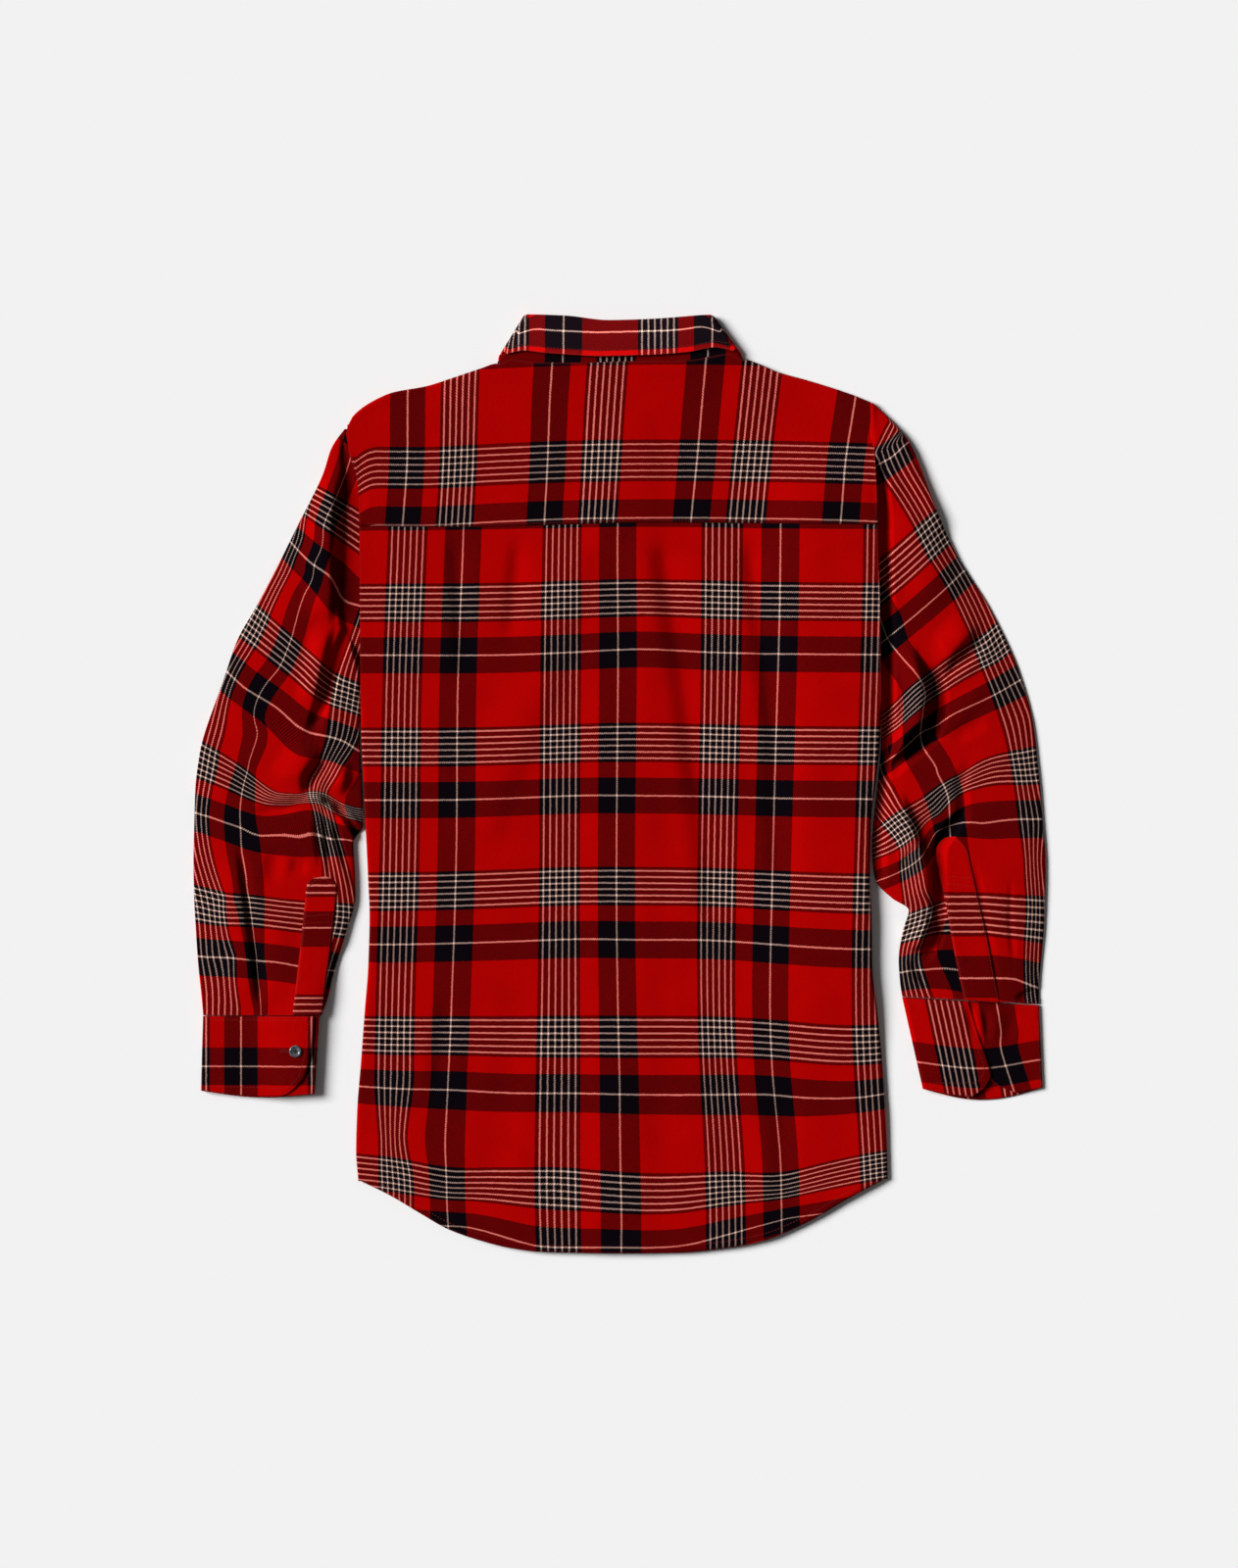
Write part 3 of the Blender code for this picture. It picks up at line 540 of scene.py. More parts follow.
def shoulder(x):
    return smooth(SHOULDERS_AND_NECK, x) - EDGE_RADIUS + NECK_LAP * neck_share(x)


def yoke_height(x, y):
    lip = ease((y - yoke_seam(x)) / 3)
    on_band = 0.7 * neck_share(x) * ease((y - smooth(SHOULDERS_AND_NECK, x) + 10) / 8)
    fade = 1 - ease((y - yoke_seam(x)) / 60)
    return back_height(x, y) + between(0.1, 0.8, lip) * fade + 0.25 * lip + on_band


back = panel(
    "shirt_back", BODY_ACROSS, BACK_ROWS, hem, back_top, back_height, back_stripes, BACK_WALL, tuck=YOKE_LAP
)
yoke = panel(
    "shirt_yoke", BODY_ACROSS, YOKE_ROWS, yoke_seam, shoulder, yoke_height, yoke_stripes, BACK_WALL,
    top_turn=True,
)

# %% Fronts and the button band
FRONT_WALL = 1.0
FRONT_HEM_RISE = 5.0
FRONT_ACROSS, BAND_ACROSS, FRONT_ROWS = 64, 12, 170
BAND_LEFT, BAND_RIGHT = CENTRE_X - BAND_HALF, CENTRE_X + BAND_HALF


def front_hem(x):
    return hem(x) + FRONT_HEM_RISE


def front_top(x):
    return np.minimum(neckline(x), smooth(SHOULDERS_AND_NECK, x)) - EDGE_RADIUS


def front(name, main, layer, turned=True, **edges):
    height = front_height(layer)
    return panel(
        name, main, FRONT_ROWS, front_hem, front_top, height, front_stripes, FRONT_WALL, -1,
        top_turn=turned, **edges,
    )


front_left = front("shirt_front_left", FRONT_ACROSS, 1, right=BAND_RIGHT)
front_right = front("shirt_front_right", FRONT_ACROSS, 2, left=BAND_LEFT)
front_band = front("shirt_front_band", BAND_ACROSS, 0, turned=False, left=BAND_LEFT, right=BAND_RIGHT)

# %% [markdown]
# ## The sleeves
# A sleeve is a tube pressed flat. It is described by rings: each row gives the ring's outer point and the
# point beside the body, from the armhole down to the cuff. The elbow is where the cloth is pinched, and
# there the folds are short, steep and close together.

# %% The sleeves' rings
SEAM = 0.4
LEFT_RINGS = (
    # outer x, y, inner x, y
    (-258, 333.5, -242.9, 60), (-272.5, 314, -243.5, 50), (-284, 281.5, -243.4, 42),
    (-316.4, 213.4, -243.1, 32), (-340.3, 167.5, -242.6, 20), (-358.3, 135.6, -242, 12),
    (-372.2, 95.7, -241.5, 3), (-393.3, 32.2, -240.6, -18), (-398, -5, -240, -38),
    (-399, -37, -249.5, -56), (-399.7, -72, -248, -84), (-399.2, -104, -247.5, -106),
    (-397.5, -137, -254, -133), (-395.3, -169, -264.5, -167), (-392.1, -200, -273, -200),
    (-390.6, -217.3, -279, -217.3),
)
RIGHT_RINGS = (
    # outer x, y, inner x, y
    (238.4, 358, 246.2, 60), (259, 338, 246.9, 48), (273, 320.4, 246.5, 38), (296, 263.4, 245.8, 28),
    (316.6, 216.2, 244.6, 14), (348.2, 165.6, 243, 0), (375.7, 106.1, 240.6, -22),
    (388.5, 60, 238.6, -42), (394.8, 8.3, 237.8, -64), (398.2, -35, 241, -90), (401, -74, 256, -107),
    (400.5, -104, 272, -119), (399.5, -132.5, 266, -140), (396.4, -167.4, 262.6, -165),
    (394.6, -190, 264, -187), (394.4, -206.6, 265.9, -199.6),
)
LEFT_SLEEVE_FOLDS = (
    # height; width on its left, on its right; softness; points along it
    # valley beside the armhole
    (-7.5, 9, 9, 1.6, (-251, 330), (-253, 300), (-256, 264), (-257, 236), (-257, 200), (-257, 165)),
    (8, 9, 28, 2, (-264, 300), (-270, 262), (-272, 230), (-272, 180), (-275, 145)),  # crown west of it
    # second valley, from the body outwards
    (-9.5, 10, 8, 1.9, (-246, 158), (-256, 140), (-264, 120), (-269, 104), (-275, 86), (-284, 64),
     (-291, 42)),
    # cloth between the valleys
    (6.5, 8, 18, 2, (-270, 155), (-275, 138), (-280, 116), (-285, 92), (-292, 66)),
    (2, 30, 34, 2, (-282, 264), (-302, 180), (-322, 107)),  # crown of the upper arm
    (6, 28, 8.5, 2, (-305, -8), (-301, 9), (-292, 23), (-279, 36)),  # cloth above the knot
    (-9, 7, 12, 1.6, (-294, -14), (-293, -3), (-289, 8), (-281, 17), (-271, 26)),  # hollow round the knot
    (6.5, 14, 9, 2, (-266, -12), (-259, 5), (-258, 24)),  # lobe above the knot
    (7, 5, 6, 2, (-293, -11), (-283, -12), (-273, -17)),  # knot
    (7.5, 9, 10, 2, (-264, -27), (-252, -37), (-242, -44)),  # lower bulge of the upper arm
    (-11, 6, 6, 1.6, (-272, -14), (-259, -27), (-248, -42), (-241, -54)),  # crease under the bulge
    (3, 10, 6, 2, (-345, -8), (-322, -14), (-296, -14)),  # cloth pulled into the knot
    (-3.4, 5, 9, 1.5, (-346, -24), (-320, -24), (-296, -22)),  # its shadow side
    (-5.5, 5, 6, 1.5, (-278, -19), (-276, -41), (-273, -68), (-270, -88)),  # V of creases, left
    (-5, 5, 6, 1.5, (-269, -28), (-262, -57), (-254, -88)),  # V of creases, right
    (-3.2, 5, 6, 1.6, (-286, -23), (-283, -48), (-279, -84)),  # V of creases, far left
    (2.4, 9, 8, 2, (-266, -39), (-259, -79), (-254, -106)),  # cloth right of the V
    (-2.2, 12, 12, 2, (-321, -57), (-325, -79), (-326, -99)),  # soft dent
    (-2, 11, 11, 2, (-311, -76), (-290, -79)),  # soft dent beside it
    # forearm crease
    (-3.4, 11, 6, 1.4, (-358, -52), (-353, -80), (-349, -108), (-345, -135), (-341, -163), (-338, -190),
     (-336, -216)),
    (2.2, 8, 24, 2, (-362, -66), (-356, -110), (-350, -160), (-345, -213)),  # cloth over the crease
    (1.6, 22, 18, 2, (-322, -106), (-321, -164), (-320, -211)),  # middle of the forearm
    (-4.4, 10, 6, 1.6, (-261, -146), (-266, -170), (-272, -193), (-275, -213)),  # beside the strip
)
RIGHT_SLEEVE_FOLDS = (
    # height; width on its left, on its right; softness; points along it
    # valley beside the body
    (-7, 9, 8, 2.2, (247, 312), (247, 262), (249, 227), (250, 180), (252, 145), (252, 110), (250, 63),
     (247, 21), (245, -20), (243, -62), (244, -104)),
    (-1.6, 12, 9, 2, (258, 162), (260, 137), (258, 112)),  # fold into the valley
    (3, 32, 28, 2, (270, 274), (289, 204), (299, 162)),  # crown of the upper arm
    (3.2, 12, 14, 2, (252, 342), (272, 306), (292, 266), (308, 228)),  # full outer edge at the shoulder
    (-2, 14, 34, 2, (304, 255), (345, 182), (376, 108), (390, 56)),  # outer edge of the elbow
    (-8.5, 11, 6, 1.6, (350, 152), (335, 132), (321, 116), (308, 104), (293, 100)),  # elbow crease
    (7, 7, 26, 2, (337, 153), (323, 136), (309, 121), (294, 114)),  # upper lobe
    # deep valley
    (-12, 10, 9, 1.9, (291, 112), (297, 98), (300, 82), (300, 64), (293, 47), (280, 34), (264, 22),
     (249, 6)),
    # inner lobe
    (11.5, 10, 18, 2, (268, 132), (279, 106), (284, 82), (280, 58), (267, 43), (254, 30), (242, 18)),
    (3.2, 9, 12, 2, (302, 96), (319, 108), (340, 114)),  # cloth below the crease
    (2, 12, 14, 2, (310, 60), (326, 76), (348, 86)),  # cloth beside the valley
    (-2.4, 11, 11, 2, (309, 42), (328, 52), (349, 58)),  # soft trough of the elbow
    (-3, 8, 10, 1.7, (332, 26), (321, 1), (324, -26), (323, -50)),  # kink of the forearm
    (10.5, 9, 22, 2, (259, -5), (273, -42), (285, -74), (289, -104), (289, -122)),  # lower lobe
    # valley right of it
    (-13, 8, 9, 2, (328, -22), (314, -40), (300, -58), (299, -82), (300, -106), (302, -130), (295, -150),
     (284, -168)),
    (-2.4, 3.5, 3.5, 1.5, (280, -55), (271, -67), (260, -85)),  # slit in the lobe
    (10, 7, 12, 2, (279, -118), (287, -131), (281, -147), (269, -160)),  # small lobe
    (-4.5, 6, 6, 1.5, (281, -158), (277, -170), (281, -182), (290, -194)),  # crease below the small lobe
    (-0.9, 5, 5, 1.6, (331, -65), (340, -102), (347, -143), (354, -180), (358, -200)),  # along the strip
    (-1.4, 5, 5, 1.6, (368, -85), (367, -128), (371, -176)),  # outer forearm
    (0.6, 14, 14, 2, (349, -76), (353, -128), (360, -172)),  # middle of the strip
    (-4.5, 7, 6, 1.5, (397, -194), (383, -198), (370, -203)),  # tuck at the cuff
)

# %% The sleeves' stripes
LEFT_WARP = (
    # warp, then x, y of the places that have it
    (19.5, (-294, 234), (-304, 206), (-328, 153), (-351, 110), (-374, 30), (-384, -27), (-368, -106),
     (-358, -162), (-354, -215)),
    (36.5, (-286, 226), (-294, 198), (-341, 102), (-357, 24), (-370, -28), (-362, -106), (-350, -162),
     (-342, -215)),
    (53.5, (-267, 264), (-277, 240), (-286, 205), (-294, 180), (-307, 137), (-320, 107), (-338, 82),
     (-339, 50), (-348, 13), (-355, -19), (-355, -41), (-354, -64), (-350, -88), (-347, -108),
     (-340, -162)),
    (70.5, (-270, 215), (-280, 184), (-320, 89), (-333, 60), (-341, 13), (-341, -34), (-337, -57),
     (-333, -106), (-333, -133), (-333, -162), (-330, -215)),
    (0, (-384, -108), (-378, -162), (-373, -215)),
    (130.5, (-267, 102), (-272, 73), (-274, 55), (-280, -75), (-283, 20), (-294, 0), (-293, -9),
     (-289, -22), (-286, -40)),
    (150, (-251, 87), (-259, 40), (-267, -75), (-262, -128), (-270, 20), (-280, 0), (-282, -10),
     (-279, -22)),
    (169, (-245, -128)),
    (169.5, (-257, 18), (-267, 0), (-273, -10), (-268, -24), (-264, -40)),
    (185, (-250, 0)),
    (197, (-247, -28)),
)
LEFT_WEFT = (
    # weft, then x, y of the places that have it
    (0, (-292, 267), (-270, 254)),
    (50, (-311, 230), (-300, 218), (-286, 205), (-270, 194), (-258, 172), (-245, 168)),
    (136.5, (-341, 148), (-314, 126), (-292, 107), (-272, 89), (-258, 84)),
    (186.5, (-371, 108), (-351, 90), (-338, 82), (-319, 70), (-292, 49), (-274, 45), (-258, 40),
     (-244, 31)),
    (273, (-388, 20), (-356, 4), (-355, 3), (-340, -6)),
    (323, (-398, -27), (-384, -31), (-370, -36), (-355, -41), (-340, -48), (-320, -48), (-300, -50),
     (-282, -48), (-270, -52), (-258, -52)),
    (409.5, (-393, -113), (-368, -118), (-348, -118), (-315, -122), (-297, -124), (-256, -128)),
    (459.5, (-394, -162), (-366, -163), (-338, -166), (-322, -167), (-300, -171)),
    (511, (-393, -217)),
    (508, (-331, -217)),
    (256, (-320, -8), (-300, -9.5), (-290, -7), (-280, -8), (-262, -17), (-248, -22)),
    (291, (-320, -20.5), (-300, -18.5), (-290, -18), (-280, -19), (-262, -30), (-248, -34)),
)
RIGHT_WARP = (
    # warp, then x, y of the places that have it
    (135, (281, 237), (360, 63), (382, -72), (250, 288), (262, 270), (241, 312)),
    (130.5, (291, 208), (299, 196), (315, 168), (329, 136), (339, 108), (367, 16)),
    (160, (304, 237), (397, -72)),
    (147, (373, 63), (381, 16)),
    (159, (385, 63)),
    (162, (392, 16)),
    (133, (376, -35), (383, -115), (381, -180)),
    (153, (394, -35), (393, -180)),
    (156, (397, -115)),
    (53.5, (252, 137), (261, 124), (274, 108), (286, 89), (283, 48), (288, 30), (299, 9), (297, 17),
     (304, 0), (309, -13), (310, -28)),
    (70.5, (265, 156), (272, 133), (297, 46), (314, 16), (319, 4), (324, -26)),
    (36.5, (272, 17), (282, 0), (294, -35), (299, -153), (305, -175), (313, -195)),
    (15, (284, -85), (294, -113)),
    (-15, (267, -98), (267, -137)),
    (19.5, (294, -130), (252, 10), (256, 3), (262, -8), (268, -21), (283, -45), (290, -100), (284, -162),
     (293, -193)),
    (0, (264, -41)),
    (-19.5, (245, -38), (262, -62)),
    (8, (276, -66)),
    (14, (282, -80)),
    (49, (312, -155), (318, -175), (323, -195)),
    (-4, (270, -180)),
)
RIGHT_WEFT = (
    # weft, then x, y of the places that have it
    (0, (292, 230), (266, 206), (252, 194)),
    (50, (325, 201), (306, 183), (288, 167), (269, 151), (252, 137)),
    (136.5, (360, 137), (348, 126), (332, 118), (311, 105), (295, 93), (286, 88), (269, 72), (258, 61)),
    (186.5, (374, 96), (351, 83), (332, 74), (311, 64), (297, 54), (283, 48)),
    (273, (381, 16), (362, 15), (349, 13), (327, 4), (264, -41)),
    (323, (396, -33), (380, -33), (362, -34), (340, -37), (319, -37), (309, -40), (297, -45), (283, -68)),
    (409.5, (390, -126), (362, -124), (340, -122), (280, -131)),
    (459.5, (392, -191), (371, -183), (351, -182), (306, -173), (290, -174), (264, -177)),
    (254.6, (245, -38), (268, -21), (290, -8), (301, 0), (320, 10)),
    (291.4, (283, -45), (262, -62), (300, -30), (311, -18), (321, -10)),
    (-86.5, (243, 300), (256, 307), (268, 318)),
    (-104, (241, 316)),
    (-108, (250, 327)),
    (-111, (256, 336)),
    (-114, (240, 350)),
)

# %% A sleeve's ring
ALL, MIDDLE, NOT_FIRST = slice(None), slice(1, -1), slice(1, None)


def ring_columns(*runs):
    """(kind, value) of each column round a tube. A run: first and last value, steps, and what is kept."""
    table = []
    for kind, (first, last, steps, kept) in enumerate(runs):
        table += [(kind, value) for value in np.linspace(first, last, steps + 1)[kept]]
    return np.array(table)


# 0 the top with its share across, 1 the turn beside the body, 2 the underside, 3 the outer turn
SLEEVE_COLUMNS = ring_columns(
    (0, 1, 96, ALL), (0, math.pi, 8, MIDDLE), (1, 0, 34, ALL), (math.pi, 0, 8, NOT_FIRST)
)
SLEEVE_ROWS = 236
UNDER_SHARE = 0.5
LOWEST_TOP = 2.6
SHOULDER_TOP = 7.0
CLIMB = 1.8
LEFT_VALLEY = (
    (20, -20), (60, -1.5), (100, -1.5), (125, 4), (150, 15), (170, 17), (250, 15), (300, 9), (330, 0),
)
RIGHT_VALLEY = ((-110, -20), (-70, 4), (-20, 10), (250, 10.5), (290, 4), (330, -20))


def sleeve_place(side, rings, folds, lower_flare, valley, tilt):
    """valley: how wide the low cloth beside the body is at each y. tilt: how much lower the outer edge is."""
    numbered = [(i, *ring) for i, ring in enumerate(rings)]
    first = rings[0]

    def top(x, y, share):
        crown = 3.2 * (1 - (2 * share - 1) ** 4) - 0.5 + tilt * (share - 0.5) * ease((230 - y) / 90)
        flare = lower_flare * ease((share - 0.55) / 0.4) * ease((-150 - y) / 50)
        z = np.maximum(FLAT_HEIGHT + crown + flare + relief(folds, x, y) + waves(x + 40, y), LOWEST_TOP)
        off_body = side * (x - side_x(side, y))
        climb = LOWEST_TOP + CLIMB * np.maximum(0.0, off_body - smooth(valley, y))
        z = -np.log(np.exp(-z) + np.exp(-climb))
        return between(SHOULDER_TOP, z, ease(off_body / 4 + 1 - ease((y - 290) / 30)))

    def under(x, y):
        return np.maximum(UNDER_SHARE * np.maximum(relief(folds, x, y), 0.0) - 0.8, 0.0)

    def place(column, row):
        kind, value = SLEEVE_COLUMNS[column, 0], SLEEVE_COLUMNS[column, 1]
        at = np.maximum(row - 2, 0) / (SLEEVE_ROWS - 2) * (len(rings) - 1)
        ox, oy, ix, iy = (smooth(numbered, at, k) for k in (1, 2, 3, 4))
        length = np.hypot(ix - ox, iy - oy)
        ux, uy = (ix - ox) / length, (iy - oy) / length
        share = np.select([kind == 1, kind == 3], [1.0, 0.0], value)
        reach = between(EDGE_RADIUS, length - EDGE_RADIUS, share)
        x, y = ox + ux * reach, oy + uy * reach
        straight = between(first[0], first[2], (first[1] - y) / (first[1] - first[3]))
        bow = np.maximum(0.0, 1 - at / 2.5)
        x = x + bow * (side_x(side, y) + side * SEAM - straight)
        high, low = top(x, y, share), under(x, y)
        angle = np.select([kind == 0, kind == 2], [0.0, math.pi], value)
        sign = np.select([kind == 1, kind == 3], [1.0, -1.0], 0.0)
        middle, radius = (high + low) / 2, (high - low) / 2
        z = middle + radius * np.cos(angle)
        x = x + ux * sign * EDGE_RADIUS * np.sin(angle)
        y = y + uy * sign * EDGE_RADIUS * np.sin(angle)
        tuck = np.array([1.0, 0.25] + [0.0] * (SLEEVE_ROWS - 1))[row]
        x = x - side * 4.5 * tuck
        z = z - 1.4 * tuck * (z > middle)
        return np.stack([x, y, z], axis=2)

    return place


def sleeve_stripes(side, warp, weft):
    """The top is charted. The underside carries the same cloth on round the outer edge."""

    def stripes(places, column, row):
        x, y = places[..., 0], places[..., 1]
        on_top = warp(x, y)
        round_back = on_top[:, :1] + side * far_along(places, 1, from_last=True)
        hidden = SLEEVE_COLUMNS[column, 0] >= 2
        return np.stack([np.where(hidden, round_back, on_top), weft(x, y)], axis=2)

    return stripes


RIGHT_CHART = charted(RIGHT_WARP)


def right_warp(x, y):
    """Over the shoulder, above the navy band, the warp runs straight on."""
    over = 135.0 + 1.34 * (0.894 * (x - 241.0) - 0.447 * (y - 312.0))
    return between(RIGHT_CHART(x, y), over, ease((y - 305.0 - 0.8 * (x - 243.0)) / 10))


def sleeve(name, side, rings, folds, flare, valley, tilt, warp, weft):
    place = sleeve_place(side, rings, folds, flare, valley, tilt)
    stripes = sleeve_stripes(side, warp, charted(weft))
    return lay_cloth(name, len(SLEEVE_COLUMNS) - 1, SLEEVE_ROWS, place, stripes, BACK_WALL, tube=True)


left_warp = charted(LEFT_WARP)
sleeve_left = sleeve(
    "shirt_sleeve_left", -1, LEFT_RINGS, LEFT_SLEEVE_FOLDS, 3.5, LEFT_VALLEY, 0.0, left_warp, LEFT_WEFT
)
sleeve_right = sleeve(
    "shirt_sleeve_right", 1, RIGHT_RINGS, RIGHT_SLEEVE_FOLDS, 0.0, RIGHT_VALLEY, 4.0, right_warp, RIGHT_WEFT
)

# %% [markdown]
# ## Strips over the sleeves' slits
# A sleeve is slit above its cuff so that the hand goes through. A strip of its own, with a rounded top
# and a stitched box, covers the slit. It lies on the sleeve, so its height is read from the sleeve's faces.


# %% Reading heights off a piece
def faces_of(piece):
    bpy.context.view_layer.update()
    return BVHTree.FromObject(piece, bpy.context.evaluated_depsgraph_get())


def height_on(tree, x, y, down=True):
    """The piece's height in millimetres at this place, from above or from below, and which way it faces."""
    start, way = (0.2, Vector((0, 0, -1))) if down else (-0.2, Vector((0, 0, 1)))
    spot, normal, _, _ = tree.ray_cast(Vector((x * MM, y * MM, start)), way)
    return (spot.z / MM, normal) if spot else (None, None)


# %% The strips
LEFT_STRIP = (
    # y down the strip: left x, y, right x, y
    (-286, -88.2, -275, -86.6), (-290.4, -91, -270, -88.6), (-293, -95.6, -266, -92.6),
    (-294, -104, -264.6, -101), (-297.8, -142, -268.6, -140), (-302, -180, -273.6, -178),
    (-306, -217.2, -278.6, -217.2),
)
RIGHT_STRIP = (
    # left x, y, right x, y
    (307, -50, 316, -49), (301, -54.6, 322, -54.6), (297.8, -62, 327.6, -63), (297.6, -72, 330.4, -76),
    (306, -110, 338.6, -113), (312, -145, 346.6, -148), (318, -176, 352.4, -180),
    (324, -203, 357.6, -205.4),
)
LEFT_STRIP_WEFT = ((80, -3), (102.5, 15), (134.9, 50), (170, 84), (200.4, 121.5), (217.5, 138))
RIGHT_STRIP_WEFT = ((40, -70), (105.3, -15), (122.4, 0), (139, 15), (182.2, 50), (206, 72))
STRIP_ACROSS, STRIP_ALONG = 20, 90
STRIP_WIDTH = 28.0
PRESSED = 4  # rounds of smoothing, since a strip of its own bridges the smallest creases below it


def strip(name, table, sleeve, warp_middle, weft_at):
    """A strip on a sleeve's faces. weft_at gives its weft for how far it is down from y = 0."""
    tree = faces_of(sleeve)
    numbered = [(i, *row) for i, row in enumerate(table)]

    def place(column, row):
        at = row / STRIP_ALONG * (len(table) - 1)
        part = column / STRIP_ACROSS
        lx, ly, rx, ry = (smooth(numbered, at, k) for k in (1, 2, 3, 4))
        x, y = between(lx, rx, part), between(ly, ry, part)
        z = np.array([[height_on(tree, *p)[0] or FLAT_HEIGHT for p in zip(*line)] for line in zip(x, y)])
        for _ in range(PRESSED):
            spread = np.pad(z, 2, mode="edge")
            near = [spread[a : a + z.shape[0], b : b + z.shape[1]] for a in (1, 2, 3) for b in (0, 2, 4)]
            z = np.maximum(z, sum(near) / len(near))
        hug = np.minimum(np.minimum(column, STRIP_ACROSS - column) / 2, np.minimum(row / 3, 1) * 2)
        return np.stack([x, y, z + between(0.2, 0.8, ease(hug))], axis=2)

    def stripes(places, column, row):
        warp = warp_middle + (column / STRIP_ACROSS - 0.5) * STRIP_WIDTH
        return np.stack([warp, smooth(weft_at, -places[..., 1])], axis=2)

    return lay_cloth(name, STRIP_ACROSS, STRIP_ALONG, place, stripes, FRONT_WALL, ALL_ENDS)


strip_left = strip("shirt_strip_left", LEFT_STRIP, sleeve_left, 98.0, LEFT_STRIP_WEFT)
strip_right = strip("shirt_strip_right", RIGHT_STRIP, sleeve_right, 100.0, RIGHT_STRIP_WEFT)

# %% [markdown]
# ## The cuffs
# A cuff is a stiffened band once round the wrist. Seen flat it has an upper layer that ends in a rounded
# corner, a fold at the far side, a lower layer, another fold, and the end that lies under the first.

# %% Cuff shapes
CUFF_HEIGHT = 6.3
CUFF_WALL = 1.5
UNDER_TOP = CUFF_HEIGHT - CUFF_WALL - 0.3
LEFT_CUFF = {
    # left x, y, right x, y
    "top": (-390.7, -217.9, -281.1, -217.9),
    "bottom": (-392.8, -288.0, -285.6, -291.0),
    "sag": 5.0,
    "open": 6.0,
    # down, upper end, under end
    "ends": (
        (0, 0.965, 0.80), (0.3, 0.96, 0.78), (0.6, 0.935, 0.76), (0.78, 0.90, 0.74), (0.9, 0.83, 0.70),
        (0.97, 0.765, 0.65), (1, 0.70, 0.62),
    ),
}
RIGHT_CUFF = {
    "top": (265.9, -200.2, 394.7, -207.9),
    "bottom": (285.3, -286.4, 397.9, -285.2),
    "sag": 11.0,
    "open": -0.8,
    "ends": (
        (0, 0.48, 0.34), (0.3, 0.51, 0.38), (0.6, 0.56, 0.46), (0.78, 0.585, 0.53), (0.9, 0.53, 0.64),
        (1, 0.41, 0.79),
    ),
}
LEFT_CUFF_FOLDS = (
    # height; width on its left, on its right; softness; points along it
    (-0.5, 24, 24, 2, (-340, -232), (-339, -276)),
    (0.5, 9, 9, 2, (-372, -226), (-300, -227)),
)
RIGHT_CUFF_FOLDS = (
    # height; width on its left, on its right; softness; points along it
    (-2.2, 6, 6, 2, (325, -206), (330, -222), (335, -240)),  # first pleat
    (1.6, 6, 6, 2, (334, -207), (339, -222), (342, -238)),  # cloth beside it
    (-2.4, 5, 6, 2, (343, -206), (345, -224), (347, -244)),  # second pleat
    (1.5, 7, 7, 2, (355, -208), (354, -226), (350, -240)),  # cloth beside it
    (-1.5, 8, 8, 2, (369, -210), (367, -230), (360, -248)),  # third pleat
    (0.5, 14, 14, 2, (290, -214), (297, -240), (302, -262)),  # left of the pleats
)
CUFF_ROWS = 44
UPPER_STEPS = 40
# 0 the upper layer, 1 its fold, 2 the lower layer, 3 the other fold, 4 the under end
CUFF_COLUMNS = ring_columns(
    (0, 1, UPPER_STEPS, ALL), (0, math.pi, 8, MIDDLE), (0, 1, 34, ALL),
    (math.pi, 0, 8, MIDDLE), (0, 1, 34, ALL),
)


# %% A cuff
def cuff_sides(shape, down):
    """The cuff's left x and y and right x and y, this far down."""
    return [between(top, bottom, down) for top, bottom in zip(shape["top"], shape["bottom"])]


def cuff_place(shape, folds):
    def place(column, row):
        kind, value = CUFF_COLUMNS[column, 0], CUFF_COLUMNS[column, 1]
        down = row / CUFF_ROWS
        sx, sy, ex, ey = cuff_sides(shape, down)
        width = np.hypot(ex - sx, ey - sy)
        ux, uy = (ex - sx) / width, (ey - sy) / width
        upper, under = (smooth(shape["ends"], down, k) * width for k in (1, 2))
        big, small = CUFF_HEIGHT / 2, UNDER_TOP / 2
        far = width - small
        runs = [kind == k for k in range(4)]
        out, up = np.sin(value), np.cos(value)
        laid = [between(upper, big, value), big - big * out, between(big, far, value), far + small * out]
        reach = np.select(runs, laid, between(far, under, value))
        z = np.select(runs, [CUFF_HEIGHT, big + big * up, 0.0, small + small * up], UNDER_TOP)
        lower = z < CUFF_HEIGHT / 2 - 1
        across = np.clip(reach / width, 0, 1)
        sag = shape["sag"] * down**2 * np.sin(math.pi * across) * np.where(lower, 1.0, 0.72)
        x, y = sx + ux * reach, sy + uy * reach
        inside = np.minimum(np.minimum(down, 1 - down) * 80, upper - reach)
        pillow = 0.55 * ease(np.clip(inside / 7, 0, 1)) * (kind == 0)
        lift = relief(folds, x, y) * ((kind == 0) | (kind == 4))
        opened = shape["open"] * ease((reach / width - 0.35) / 0.5) * np.clip(z / UNDER_TOP, 0, 1)
        return np.stack([x, y - sag, np.maximum(z + opened + lift + pillow, 0.0)], axis=2)

    return place


def cuff_stripes(weft_top, warp_of):
    """weft_top: the weft of a place seen from above. The hidden layer carries the cloth on round the fold."""

    def stripes(places, column, row):
        x, y = places[..., 0], places[..., 1]
        weft = weft_top(x, y, row / CUFF_ROWS)
        far = far_along(places, 1)
        fold = slice(UPPER_STEPS, UPPER_STEPS + 1)
        hidden = np.isin(CUFF_COLUMNS[column, 0], (1, 2, 3))
        weft = np.where(hidden, weft[:, fold] - (far - far[:, fold]), weft)
        return np.stack([warp_of(x, y), weft], axis=2)

    return stripes


def left_cuff_weft(x, y, down):
    return 50.0 + (x + 354.7) * 1.08


def left_cuff_warp(x, y):
    return 53.5 + 265.0 + y


